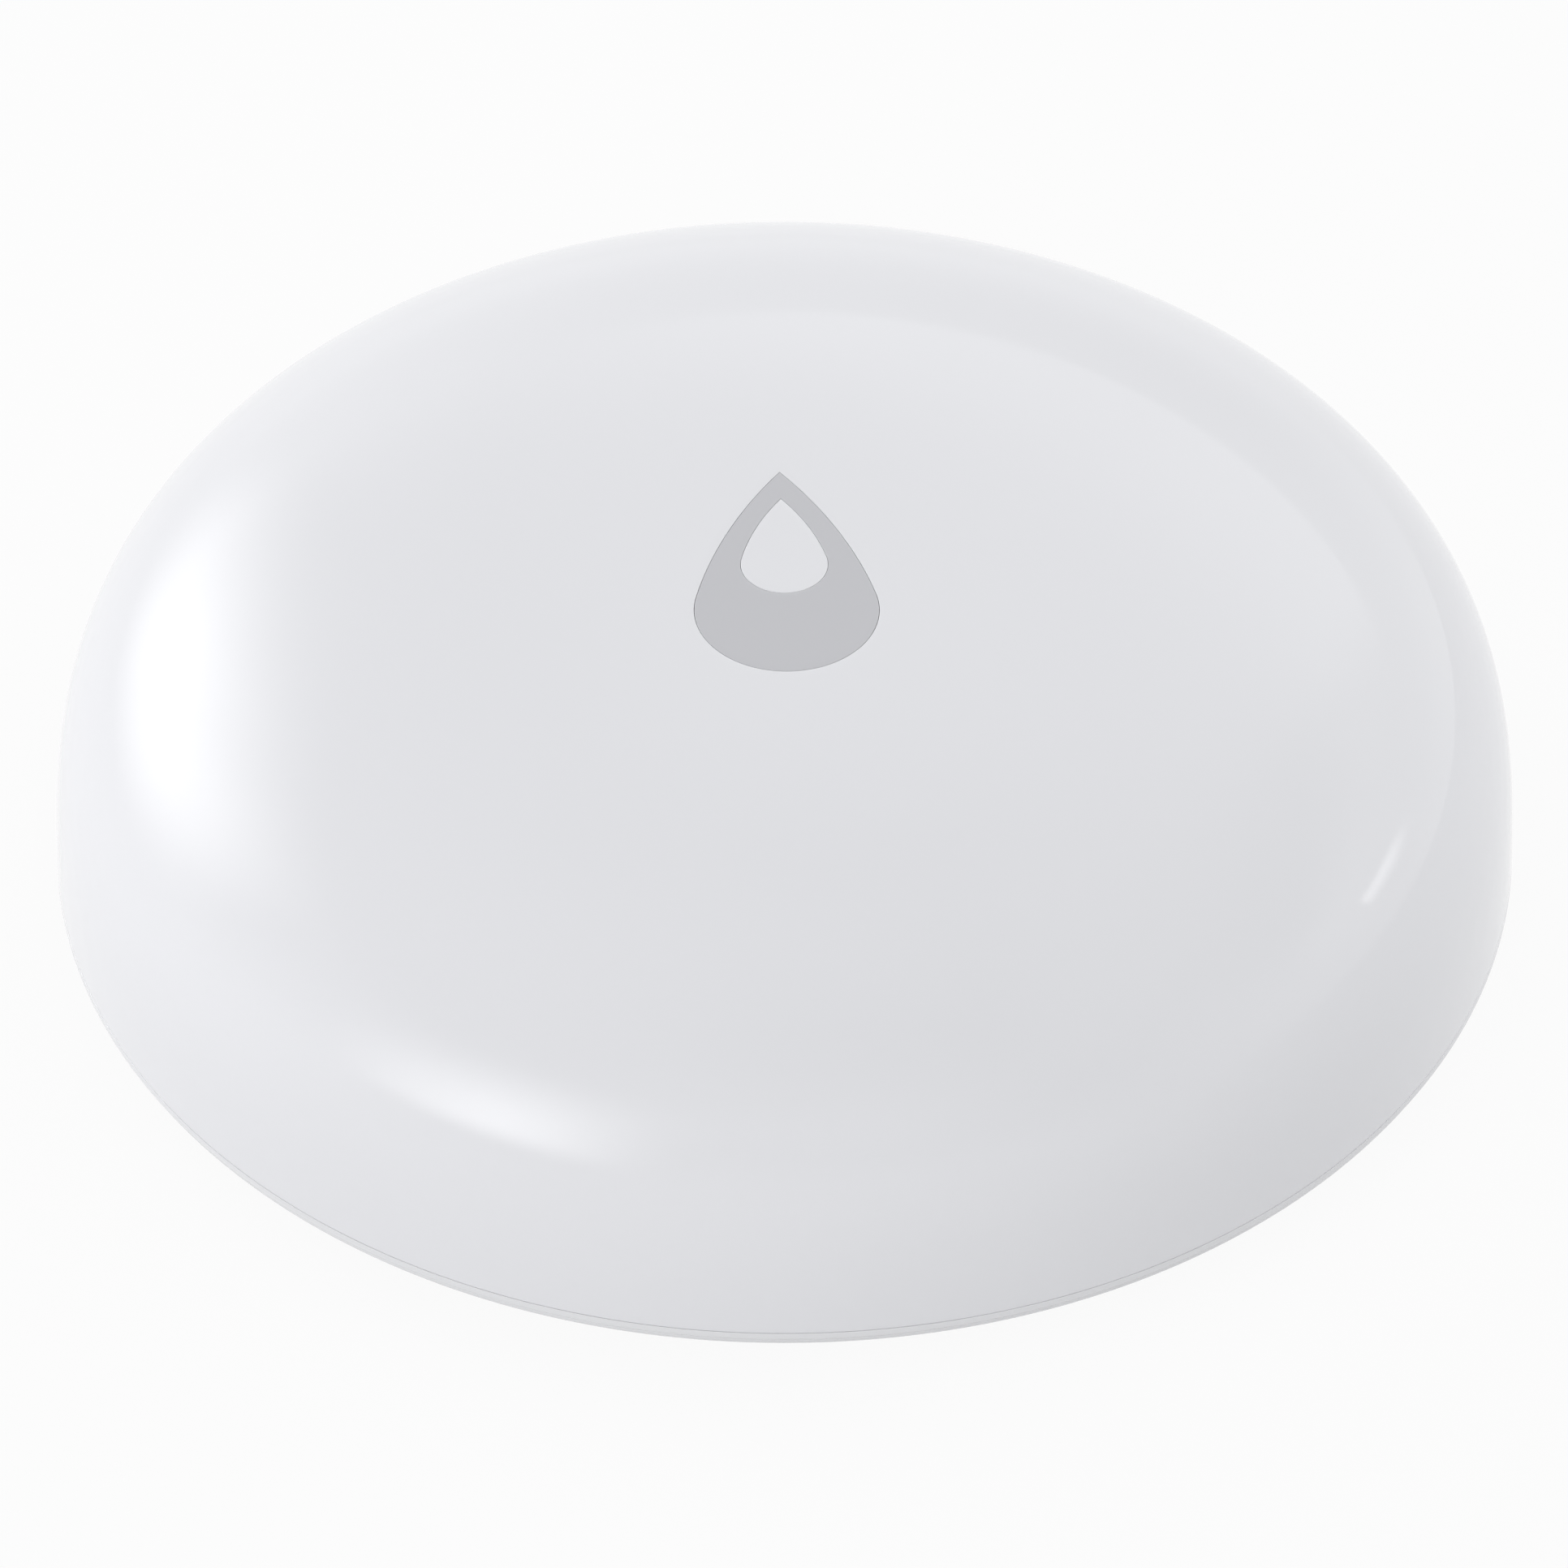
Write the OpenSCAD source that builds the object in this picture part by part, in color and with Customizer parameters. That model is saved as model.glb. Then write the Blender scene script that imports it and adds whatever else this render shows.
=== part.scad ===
// Water leak sensor: a glossy domed puck that stands on a twist-off base with two probe screws.
// Millimetres, +Z up. The foot pads stand on z = 0 and the drop mark points to +Y.

/* [Body] */
// Diameter at the rim
body_d = 50; // [45:0.5:64]
// Height from the floor to the crown
body_h = 15; // [13.5:0.1:18]
// Height of the rim over the floor, the lowest edge seen from above
rim_z = 2.35; // [2.1:0.05:2.6]
// Squareness of the dome, where 2 is an ellipse
dome_power = 3.45; // [3:0.05:4.2]
// Wall of the cover
wall = 1.8; // [1.5:0.1:2.2]
// Height of the base's edge seen below the parting line
edge_h = 0.25; // [0.2:0.05:0.6]
// Open height of the parting line
part_gap = 0.06; // [0.04:0.01:0.2]

/* [Drop key] */
// Radius of the drop's round end
drop_r = 3.1; // [2.6:0.1:3.6]
// Distance from the centre of the round end to the tip
drop_reach = 7.05; // [6.2:0.05:7.8]
// Radius of the drop's two flanks
drop_flank_r = 17.5; // [14:0.5:40]
// Place of the round end's centre along Y
drop_y = -2.1; // [-2.6:0.05:-1.7]
// Size of the small inner drop as a share of the outer one
inlay_share = 0.48; // [0.3:0.02:0.55]
// Place of the inner drop's centre along Y
inlay_y = 0.25; // [-0.2:0.05:0.6]
// Depth of the inner drop
inlay_h = 0.7; // [0.4:0.1:0.9]
// Gap round the key
key_gap = 0.06; // [0.04:0.01:0.1]
// Travel of the key
key_travel = 0.25; // [0.15:0.05:0.3]
// Thickness of the key's flange
flange_t = 0.6; // [0.4:0.1:0.7]
// Thickness of the membrane under the key
membrane_t = 0.4; // [0.3:0.05:0.6]

/* [Base] */
// Height of the foot pads
foot_h = 0.8; // [0.6:0.05:1]
// Thickness of the base's floor
floor_t = 1.4; // [1.2:0.05:1.6]
// Wall of the ring that stands in the cover
spigot_t = 1.4; // [1:0.1:1.6]
// Section of the seal between base and cover
seal_d = 1.3; // [1:0.1:1.5]
// Angle covered by each lug of the twist lock
lug_angle = 22; // [16:1:26]
// Width of the coin slot
slot_w = 2.2; // [1.6:0.1:2.6]
// Length of the coin slot
slot_l = 14; // [10:0.5:18]
// Depth of the coin slot
slot_h = 0.7; // [0.4:0.1:0.8]

/* [Probes] */
// Radius of a probe's head
probe_head_r = 2.5; // [2.2:0.1:2.6]
// Radius of a probe's shank
probe_shank_r = 1.25; // [1:0.05:1.3]
// Height of the probe faces over the floor
probe_lift = 0.3; // [0.15:0.05:0.45]
// Section of the seal under a probe's head
probe_seal_d = 0.6; // [0.5:0.05:0.65]

/* [Coin cell and board] */
// Diameter of the coin cell
cell_d = 20; // [19:0.1:20.6]
// Height of the coin cell
cell_h = 3.2; // [2.5:0.1:3.6]
// Height of the ring that carries the cell
cell_rest_h = 0.9; // [0.8:0.05:1.1]
// Room for the contact between cell and board
contact_h = 0.75; // [0.6:0.05:1]
// Thickness of the circuit board
board_t = 1; // [0.8:0.1:1.2]
// Height of the switch's body
switch_h = 1.1; // [0.9:0.1:1.4]

/* [Hidden] */
$fn = 96;
fit = 0.05;
touch = 0.02;
sheet_t = 0.2;
lap = 0.4;
dome_steps = 30;
inside_steps = 16;
drop_steps = 30;
flank_steps = 8;
edge_steps = 8;

body_r = body_d / 2;
dome_h = body_h - rim_z;
inner_r = body_r - wall;
inner_h = dome_h - wall;
floor_z = foot_h + floor_t;
flange_z = rim_z + edge_h;
cover_z = flange_z + part_gap;

// Twist lock, from the cover's wall inwards
land_t = 0.45;
land_h = 1.8;
ledge_t = 1;
lug_t = 1.1;
lug_gap = 0.1;
lug_play = 0.2;
spigot_over = 0.2;
stop_angle = 3;
stop_play = 0.6;
ledge_side = 3;
land_r = inner_r - land_t;
land_top = cover_z + land_h;
ledge_top = land_top + ledge_t;
lug_z = ledge_top + lug_gap;
lug_top = lug_z + lug_t;
spigot_top = lug_top + spigot_over;
spigot_r = land_r - seal_d - fit;
spigot_in = spigot_r - spigot_t;
lug_places = [40, 160, 280];

// Base underside
under_run = 7.2;
under_r = body_r - under_run;
edge_break = 0.12;
pad_w = 1.6;
pad_inset = 0.4;
pad_angle = 28;
pad_places = [90, 210, 330];
rest_r = 6.7;
rest_w = 1.2;
arrow_r = 11.4;
arrow_w = 0.6;
arrow_from = 62;
arrow_angle = 50;
arrow_h = 0.15;
arrow_head = 2.2;

// Coin cell and its holder
cell_r = cell_d / 2;
cell_z = floor_z + cell_rest_h + fit;
cell_top = cell_z + cell_h;
cell_skin = 0.25;
cell_cap_inset = 1.3;
cell_lip_inset = 0.85;
cell_cap_r = cell_r - cell_cap_inset;
cell_lip_r = cell_r - cell_lip_inset;
cell_crimp = 0.35;
holder_gap = 0.15;
holder_t = 1.3;
holder_in = cell_r + holder_gap;
holder_out = holder_in + holder_t;
holder_window = 40;
window_places = [90, 270];
hook_h = 0.55;
hook_reach = 0.6;
hook_angle = 22;
hook_step = 0.2;
clip_w = 5;
clip_foot = 2.2;
clip_drop = 3.4;
leaf_w = 4;
leaf_pad = 2.2;
leaf_touch = 4.3;
leaf_flat = 0.5;
leaf_tip = 0.6;

// Board, its posts and what is soldered on it
board_z = cell_top + contact_h;
board_top = board_z + board_t;
board_gap = 0.4;
board_r = spigot_in - board_gap;
post_r = 2;
post_inset = 2.8;
post_at = board_r - post_inset;
post_places = [90, 210, 330];
post_bore_h = 3.4;
screw_r = 0.8;
screw_clear = 0.4;
screw_head_r = 1.5;
screw_head_h = 0.9;
cross_w = 0.5;
cross_l = 1.9;
cross_h = 0.45;
board_hole_r = 1;
chip_w = 6;
chip_h = 0.85;
chip_gap = 0.4;
chip_x = -1.5;
chip_y = post_at - post_r - chip_gap - chip_w / 2;
crystal_size = [3.2, 2.5, 0.75];
crystal_x = 5.2;
passive_size = [1.6, 0.8, 0.7];
passive_x = 7.6;
passive_pitch = 1.8;
passive_places = concat(
    [for (i = [0:2]) [-passive_x, chip_y - i * passive_pitch]],
    [for (side = [-1, 1], i = [0:1]) [side * (holder_in + fit), (i + 1) * passive_pitch]]
);
led_size = [0.9, 1.6, 0.45];
led_lens_r = 0.4;
led_x = 4.1;
copper_t = 0.08;
antenna_w = 0.6;
antenna_pitch = 1.4;
antenna_turns = 4;
antenna_run = 3.2;
antenna_inset = 1.6;
antenna_y = antenna_inset - board_r;

// Probes, set as close to the holder as their nuts allow
probe_seat_h = 0.5;
probe_head_play = 0.15;
probe_boss_h = 1.4;
nut_flat_r = 2.5;
nut_r = nut_flat_r / cos(30);
nut_h = 1.6;
nut_clear = 0.25;
probe_at = holder_out + nut_clear + nut_flat_r;
probe_cross_w = 0.8;
probe_cross_l = 3;
probe_cross_h = 0.4;
probe_round = 0.4;
probe_seat_z = foot_h + probe_seat_h;
probe_seal_r = (probe_shank_r + probe_head_r) / 2;
boss_z = floor_z + probe_boss_h;
nut_top = boss_z + touch + nut_h;
spring_w = 2.4;
spring_foot = 5.6;
spring_bend = 3.2;
spring_flat = 0.9;
spring_tip = 1.6;
spring_lift = 0.4;

// Key, membrane and switch, from the crown downwards
pocket_cut = 0.1;
pocket_z = body_h - wall + pocket_cut;
flange_side = 0.85;
key_flange_r = max(drop_reach + drop_y, drop_r - drop_y) + flange_side;
pocket_play = 0.3;
pocket_r = key_flange_r + pocket_play;
collar_t = 1.2;
collar_r = pocket_r + collar_t;
flange_top = pocket_z - fit;
flange_bottom = flange_top - flange_t;
pusher_h = 0.3;
collar_z = flange_bottom - key_travel - pusher_h;
pusher_r = 1.6;
membrane_z = collar_z - membrane_t;
clamp_grip = 0.5;
clamp_in = pocket_r - clamp_grip;
clamp_t = 0.9;
clamp_h = 0.8;
clamp_lap = 0.6;
switch_w = 5.2;
frame_t = 0.2;
switch_top = board_top + switch_h;
well_r = 1.75;
well_floor = 0.25;
plunger_flange_r = 1.6;
plunger_flange_t = 0.3;
plunger_r = 0.95;
plunger_out = 0.6;
plunger_top = switch_top + frame_t + plunger_out;
snap_t = 0.1;
snap_play = 0.05;
nib_r = 1.1;
nib_z = plunger_top + fit;

// Height of a dome of radius r and height h at distance x from its axis
function dome_z(x, r, h) = h * pow(1 - pow(x / r, dome_power), 1 / dome_power);

// Profile of a dome over the rim plane, from height z0 up to the axis
function dome_arc(r, h, z0, steps) =
    let (t0 = asin(pow(z0 / h, dome_power / 2)))
    [for (i = [0:steps])
        let (t = 90 - (90 - t0) * (steps - i) / steps)
        [r * pow(cos(t), 2 / dome_power), rim_z + h * pow(sin(t), 2 / dome_power)]];

// A list in reverse order
function reversed(p) = [for (i = [len(p) - 1:-1:0]) p[i]];

// A bent strip: its upper line, then the same line lowered by its thickness
function strip(p, t) = concat(p, [for (q = reversed(p)) q - [0, t]]);

// Outline of a drop with its round end at the origin and its tip on +Y, grown by gap:
// a round end of radius r and two flanks of radius f that run on from it without a corner
function drop_outline(r, reach, f, gap) =
    let (
        lean = asin((2 * f * r - r * r - reach * reach) / (2 * reach * (f - r))),
        centre = (f - r) * [-cos(lean), -sin(lean)],
        tip = acos(-centre[0] / (f + gap))
    )
    concat(
        [for (i = [0:drop_steps])
            let (a = 180 - lean + (180 + 2 * lean) * i / drop_steps)
            (r + gap) * [cos(a), sin(a)]],
        [for (i = [1:flank_steps])
            let (a = lean + (tip - lean) * i / flank_steps)
            centre + (f + gap) * [cos(a), sin(a)]],
        [for (i = [flank_steps - 1:-1:1])
            let (a = lean + (tip - lean) * i / flank_steps)
            [-centre[0], centre[1]] + (f + gap) * [-cos(a), sin(a)]]
    );

// The dome's outer form as a solid, down to the rim plane
module dome_solid() {
    rotate_extrude()
        polygon(concat([[0, rim_z]], dome_arc(body_r, dome_h, 0, dome_steps)));
}

// A prism of the drop mark from z0 to z1
module drop_prism(gap, z0, z1) {
    translate([0, drop_y, z0])
        linear_extrude(z1 - z0)
            polygon(drop_outline(drop_r, drop_reach, drop_flank_r, gap));
}

// A prism of the small inner drop from z0 to z1
module inlay_prism(gap, z0, z1) {
    s = inlay_share;
    translate([0, inlay_y, z0])
        linear_extrude(z1 - z0)
            polygon(drop_outline(s * drop_r, s * drop_reach, s * drop_flank_r, gap));
}

// A ring from radius r0 to r1 and from z0 to z1
module ring(r0, r1, z0, z1) {
    rotate_extrude()
        translate([r0, z0])
            square([r1 - r0, z1 - z0]);
}

// A piece of a ring, turned to start at angle a0
module sector(r0, r1, z0, z1, a0, angle) {
    rotate([0, 0, a0])
        rotate_extrude(angle = angle)
            translate([r0, z0])
                square([r1 - r0, z1 - z0]);
}

// A post or bore from z0 to z1
module rod(r, z0, z1) {
    translate([0, 0, z0])
        cylinder(r = r, h = z1 - z0);
}

// A block centred on x and y that stands on z0
module block(size, z0) {
    translate([-size[0] / 2, -size[1] / 2, z0])
        cube(size);
}

// A cross recess from z0 up by h
module cross_recess(l, w, z0, h) {
    block([l, w, h], z0);
    block([w, l, h], z0);
}

// Children at the three posts
module at_posts() {
    for (a = post_places)
        rotate([0, 0, a])
            translate([post_at, 0, 0])
                children();
}

// Children at the two probes
module at_probes() {
    for (side = [-1, 1])
        translate([side * probe_at, 0, 0])
            children();
}

// Domed cover: one shell with a thick land for the seal at its foot, ledges for the twist lock,
// a collar round the key and posts for the board
module top_cover() {
    inside = reversed(dome_arc(inner_r, inner_h, land_top - rim_z, inside_steps));
    post_top = rim_z
        + (dome_z(post_at - post_r, inner_r, inner_h) + dome_z(post_at + post_r, body_r, dome_h)) / 2;
    color("white")
        difference() {
            union() {
                rotate_extrude()
                    polygon(concat(
                        dome_arc(body_r, dome_h, cover_z - rim_z, dome_steps),
                        inside,
                        [[land_r, land_top], [land_r, cover_z]]
                    ));
                for (a = lug_places) {
                    sector(spigot_r + lug_play, inner_r + lap, land_top - lap, ledge_top,
                        a - lug_angle / 2 - ledge_side, lug_angle + 2 * ledge_side);
                    sector(spigot_r + lug_play, inner_r + lap, land_top - lap, lug_top,
                        a + lug_angle / 2 + stop_play, stop_angle);
                }
                ring(pocket_r, collar_r, collar_z, body_h - wall / 2);
                at_posts() rod(post_r, board_top, post_top);
            }
            rod(pocket_r, collar_z - lap, pocket_z);
            drop_prism(key_gap, pocket_z - lap, body_h + lap);
            at_posts() rod(screw_r + fit, board_top - lap, board_top + post_bore_h);
        }
}

// Drop-shaped key: its face follows the dome, and a round flange keeps it in the cover
module drop_key() {
    color("lightgray")
        difference() {
            union() {
                intersection() {
                    drop_prism(0, flange_top - lap, body_h + lap);
                    dome_solid();
                }
                rod(key_flange_r, flange_bottom, flange_top);
                rod(pusher_r, collar_z + fit, flange_bottom + flange_t / 2);
            }
            inlay_prism(touch, body_h - inlay_h, body_h + lap);
        }
}

// Small white drop set in the key
module key_inlay() {
    color("white")
        intersection() {
            inlay_prism(0, body_h - inlay_h, body_h + lap);
            dome_solid();
        }
}

// Silicone sheet across the collar, with a nib over the switch
module key_membrane() {
    color("gainsboro")
        union() {
            rod(collar_r - fit, membrane_z, collar_z);
            rod(nib_r, nib_z, membrane_z + membrane_t / 2);
        }
}

// Ring pressed over the collar that holds the membrane's rim
module membrane_clamp() {
    color("dimgray")
        rotate_extrude()
            polygon([
                [clamp_in, membrane_z - clamp_h],
                [collar_r + fit + clamp_t, membrane_z - clamp_h],
                [collar_r + fit + clamp_t, collar_z + clamp_lap],
                [collar_r + fit, collar_z + clamp_lap],
                [collar_r + fit, membrane_z],
                [clamp_in, membrane_z]
            ]);
}

// Round circuit board
module circuit_board() {
    color("darkgreen")
        difference() {
            rod(board_r, board_z, board_top);
            at_posts() rod(board_hole_r, board_z - lap, board_top + lap);
        }
}

// Square body of the tact switch, with a round well
module switch_body() {
    color("black")
        difference() {
            block([switch_w, switch_w, switch_h], board_top);
            rod(well_r, board_top + well_floor, switch_top + lap);
        }
}

// Snap dome in the switch's well: a thin spherical cap that carries the plunger
module switch_dome() {
    z0 = board_top + well_floor;
    r = well_r - fit;
    h = switch_top - fit - plunger_flange_t - snap_play - z0;
    ball = (r * r + h * h) / (2 * h);
    color("silver")
        intersection() {
            translate([0, 0, z0 + h - ball])
                difference() {
                    sphere(r = ball);
                    sphere(r = ball - snap_t);
                }
            rod(r - snap_t, z0, z0 + h + lap);
        }
}

// Plunger of the switch: its flange stays below the frame
module switch_plunger() {
    color("saddlebrown")
        union() {
            rod(plunger_flange_r, switch_top - fit - plunger_flange_t, switch_top - fit);
            rod(plunger_r, switch_top - fit - plunger_flange_t / 2, plunger_top);
        }
}

// Metal frame that closes the switch
module switch_frame() {
    color("silver")
        difference() {
            block([switch_w, switch_w, frame_t], switch_top);
            rod(plunger_r + fit, switch_top - lap, switch_top + lap);
        }
}

// Status light beside the switch
module status_led() {
    color("lightyellow")
        translate([led_x, 0, 0])
            union() {
                block(led_size, board_top);
                rod(led_lens_r, board_top + led_size[2] / 2, board_top + led_size[2] + led_lens_r / 2);
            }
}

// Radio chip
module radio_chip() {
    color("black")
        translate([chip_x, chip_y, 0])
            block([chip_w, chip_w, chip_h], board_top);
}

// Clock crystal in its metal can
module clock_crystal() {
    color("silver")
        translate([crystal_x, chip_y, 0])
            block(crystal_size, board_top);
}

// Folded copper antenna along the board's edge
module trace_antenna() {
    color("gold")
        translate([0, antenna_y, board_top])
            linear_extrude(copper_t)
                for (i = [-antenna_turns:antenna_turns]) {
                    translate([i * antenna_pitch - antenna_w / 2, 0])
                        square([antenna_w, antenna_run]);
                    if (i < antenna_turns)
                        translate([i * antenna_pitch, i % 2 == 0 ? 0 : antenna_run - antenna_w])
                            square([antenna_pitch, antenna_w]);
                }
}

// Small chip capacitors and resistors
module chip_parts() {
    color("tan")
        for (p = passive_places)
            translate(p)
                block(passive_size, board_top);
}

// Screws that hold the board to the posts, heads below
module board_screws() {
    color("silver")
        at_posts()
            difference() {
                union() {
                    rod(screw_r, board_z - touch - screw_head_h / 2, board_top + post_bore_h - screw_clear);
                    rod(screw_head_r, board_z - touch - screw_head_h, board_z - touch);
                }
                cross_recess(cross_l, cross_w, board_z - touch - screw_head_h - lap, cross_h + lap);
            }
}

// Holder of the coin cell: a ring under the board with a window for the positive clip,
// one for a fingernail, and two hooks under the cell
module cell_holder() {
    hook_z = cell_z - fit - hook_h;
    color("dimgray")
        difference() {
            union() {
                ring(holder_in, holder_out, cell_z, board_z);
                for (a = [0, 180]) {
                    sector(holder_in + fit, holder_out - hook_step, hook_z, cell_z + lap,
                        a - hook_angle / 2, hook_angle);
                    sector(holder_in - hook_reach, holder_in + lap, hook_z, cell_z - fit,
                        a - hook_angle / 2, hook_angle);
                }
            }
            for (a = window_places)
                sector(holder_in - lap, holder_out + lap, cell_z - lap, board_z - lap,
                    a - holder_window / 2, holder_window);
            sector(holder_in - lap, holder_out + lap, board_z - 2 * lap, board_z + lap,
                window_places[1] - holder_window / 2, holder_window);
        }
}

// Positive clip: a bent plate that presses on the side of the cell
module cell_clip_positive() {
    y = cell_r + touch;
    color("gold")
        translate([-clip_w / 2, 0, 0])
            rotate([90, 0, 90])
                linear_extrude(clip_w)
                    polygon([
                        [-y, board_z - clip_drop],
                        [-y, board_z],
                        [-y - clip_foot, board_z],
                        [-y - clip_foot, board_z - sheet_t],
                        [-y - sheet_t, board_z - sheet_t],
                        [-y - sheet_t, board_z - clip_drop]
                    ]);
}

// Negative contact: a leaf on the board with two arms that rest on the cell's cap
module cell_contact_negative() {
    low = cell_top + touch + sheet_t;
    half = [
        [leaf_pad, board_z],
        [leaf_touch, low],
        [leaf_touch + leaf_flat, low],
        [leaf_touch + leaf_flat + leaf_tip, low + sheet_t]
    ];
    color("gold")
        rotate([90, 0, 0])
            translate([0, 0, -leaf_w / 2])
                linear_extrude(leaf_w)
                    polygon(strip(concat(
                        [for (p = reversed(half)) [-p[0], p[1]]],
                        half
                    ), sheet_t));
}

// Steel can of the coin cell, its wall turned in over the gasket
module cell_can() {
    color("silver")
        rotate_extrude()
            polygon([
                [0, cell_z],
                [cell_r, cell_z],
                [cell_r, cell_top - cell_crimp],
                [cell_lip_r, cell_top - cell_crimp + cell_skin / 2],
                [cell_lip_r, cell_top - cell_crimp - cell_skin / 2],
                [cell_r - cell_skin, cell_top - cell_crimp - cell_skin],
                [cell_r - cell_skin, cell_z + cell_skin],
                [0, cell_z + cell_skin]
            ]);
}

// Gasket between can and cap
module cell_gasket() {
    color("black")
        rotate_extrude()
            polygon([
                [cell_cap_r + touch, cell_z + cell_skin + touch],
                [cell_r - cell_skin - touch, cell_z + cell_skin + touch],
                [cell_r - cell_skin - touch, cell_top - cell_crimp - 1.5 * cell_skin],
                [cell_lip_r - touch, cell_top - cell_crimp - cell_skin],
                [cell_lip_r - touch, cell_top - cell_crimp + cell_skin / 2],
                [cell_cap_r + touch, cell_top - cell_crimp + cell_skin / 2]
            ]);
}

// Cap of the coin cell with what it holds
module cell_cap() {
    color("silver")
        rotate_extrude()
            polygon([
                [0, cell_z + cell_skin + touch],
                [cell_cap_r, cell_z + cell_skin + touch],
                [cell_cap_r, cell_top - cell_crimp + cell_skin],
                [cell_cap_r - cell_skin, cell_top],
                [0, cell_top]
            ]);
}

// Leaf spring from the board down to a probe
module probe_spring() {
    low = nut_top + 2 * fit + sheet_t;
    color("gold")
        translate([-spring_w / 2, 0, 0])
            rotate([90, 0, 90])
                linear_extrude(spring_w)
                    polygon(strip([
                        [-spring_tip, low + spring_lift],
                        [-spring_flat, low],
                        [spring_flat, low],
                        [spring_bend, board_z],
                        [spring_foot, board_z]
                    ], sheet_t));
}

module probe_spring_left() {
    translate([-probe_at, 0, 0])
        probe_spring();
}

module probe_spring_right() {
    translate([probe_at, 0, 0])
        probe_spring();
}

// Base: a saucer with foot pads, a coin slot and a turn arrow below, and above it the ring with the
// lugs of the twist lock, the ring that carries the cell and the bosses of the probes
module base_shell() {
    run = under_run - edge_break;
    rise = rim_z - edge_break - foot_h;
    underside = [for (i = [0:edge_steps])
        let (a = 90 * i / edge_steps)
        [under_r + run * sin(a), foot_h + rise * (1 - cos(a))]];
    arrow_end = arrow_from + arrow_angle;
    color("white")
        difference() {
            union() {
                rotate_extrude()
                    polygon(concat(
                        [[0, foot_h]],
                        underside,
                        [
                            [body_r, rim_z],
                            [body_r, flange_z],
                            [spigot_r, flange_z],
                            [spigot_r, spigot_top],
                            [spigot_in, spigot_top],
                            [spigot_in, floor_z],
                            [0, floor_z]
                        ]
                    ));
                for (a = lug_places)
                    sector(spigot_r - lap, land_r - lug_play, lug_z, lug_top, a - lug_angle / 2, lug_angle);
                for (a = pad_places)
                    sector(under_r - pad_inset - pad_w, under_r - pad_inset, 0, foot_h + lap,
                        a - pad_angle / 2, pad_angle);
                ring(rest_r - rest_w, rest_r, floor_z - lap, floor_z + cell_rest_h);
                at_probes() rod(nut_flat_r, floor_z - lap, boss_z);
            }
            block([slot_l, slot_w, slot_h + lap], foot_h - lap);
            for (turn = [0, 180])
                rotate([0, 0, turn]) {
                    sector(arrow_r - arrow_w / 2, arrow_r + arrow_w / 2, foot_h - lap, foot_h + arrow_h,
                        arrow_from, arrow_angle);
                    rotate([0, 0, arrow_end])
                        translate([arrow_r, -lap / 4, foot_h - lap])
                            linear_extrude(lap + arrow_h)
                                polygon([[-arrow_head / 2, 0], [arrow_head / 2, 0], [0, arrow_head]]);
                }
            at_probes() {
                rod(probe_head_r + probe_head_play, foot_h - lap, probe_seat_z);
                rod(probe_shank_r + fit, foot_h - lap, boss_z + lap);
                ring(probe_seal_r - probe_seal_d / 2 - fit, probe_seal_r + probe_seal_d / 2 + fit,
                    probe_seat_z - lap, probe_seat_z + probe_seal_d);
            }
        }
}

// Rubber ring on the base's flange, round the spigot
module seal_ring() {
    color("dimgray")
        translate([0, 0, flange_z + touch + seal_d / 2])
            rotate_extrude()
                translate([spigot_r + touch + seal_d / 2, 0])
                    circle(d = seal_d);
}

// Probe screw: a flat stainless head below the base, a shank up to the board's spring
module probe_screw() {
    head_top = probe_seat_z - touch;
    color("silver")
        difference() {
            union() {
                rotate_extrude()
                    polygon([
                        [0, probe_lift],
                        for (i = [0:edge_steps])
                            let (a = 90 * i / edge_steps)
                            [probe_head_r - probe_round * (1 - sin(a)), probe_lift + probe_round * (1 - cos(a))],
                        [probe_head_r, head_top],
                        [0, head_top]
                    ]);
                rod(probe_shank_r, head_top - lap / 2, nut_top + fit);
            }
            cross_recess(probe_cross_l, probe_cross_w, probe_lift - lap, probe_cross_h + lap);
        }
}

module probe_screw_left() {
    translate([-probe_at, 0, 0])
        probe_screw();
}

module probe_screw_right() {
    translate([probe_at, 0, 0])
        probe_screw();
}

// Small rubber rings in the grooves over the probe heads
module probe_seals() {
    color("dimgray")
        at_probes()
            translate([0, 0, probe_seat_z + probe_seal_d / 2 - touch / 2])
                rotate_extrude()
                    translate([probe_seal_r, 0])
                        circle(d = probe_seal_d - touch);
}

// Hexagon nuts on the probes
module probe_nuts() {
    color("silver")
        at_probes()
            difference() {
                translate([0, 0, boss_z + touch])
                    rotate([0, 0, 30])
                        cylinder(r = nut_r, h = nut_h, $fn = 6);
                rod(probe_shank_r + touch, boss_z - lap, nut_top + lap);
            }
}

top_cover();
drop_key();
key_inlay();
key_membrane();
membrane_clamp();
circuit_board();
switch_body();
switch_dome();
switch_plunger();
switch_frame();
status_led();
radio_chip();
clock_crystal();
trace_antenna();
chip_parts();
board_screws();
cell_holder();
cell_clip_positive();
cell_contact_negative();
cell_can();
cell_gasket();
cell_cap();
probe_spring_left();
probe_spring_right();
base_shell();
seal_ring();
probe_screw_left();
probe_screw_right();
probe_seals();
probe_nuts();
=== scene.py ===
import math

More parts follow.
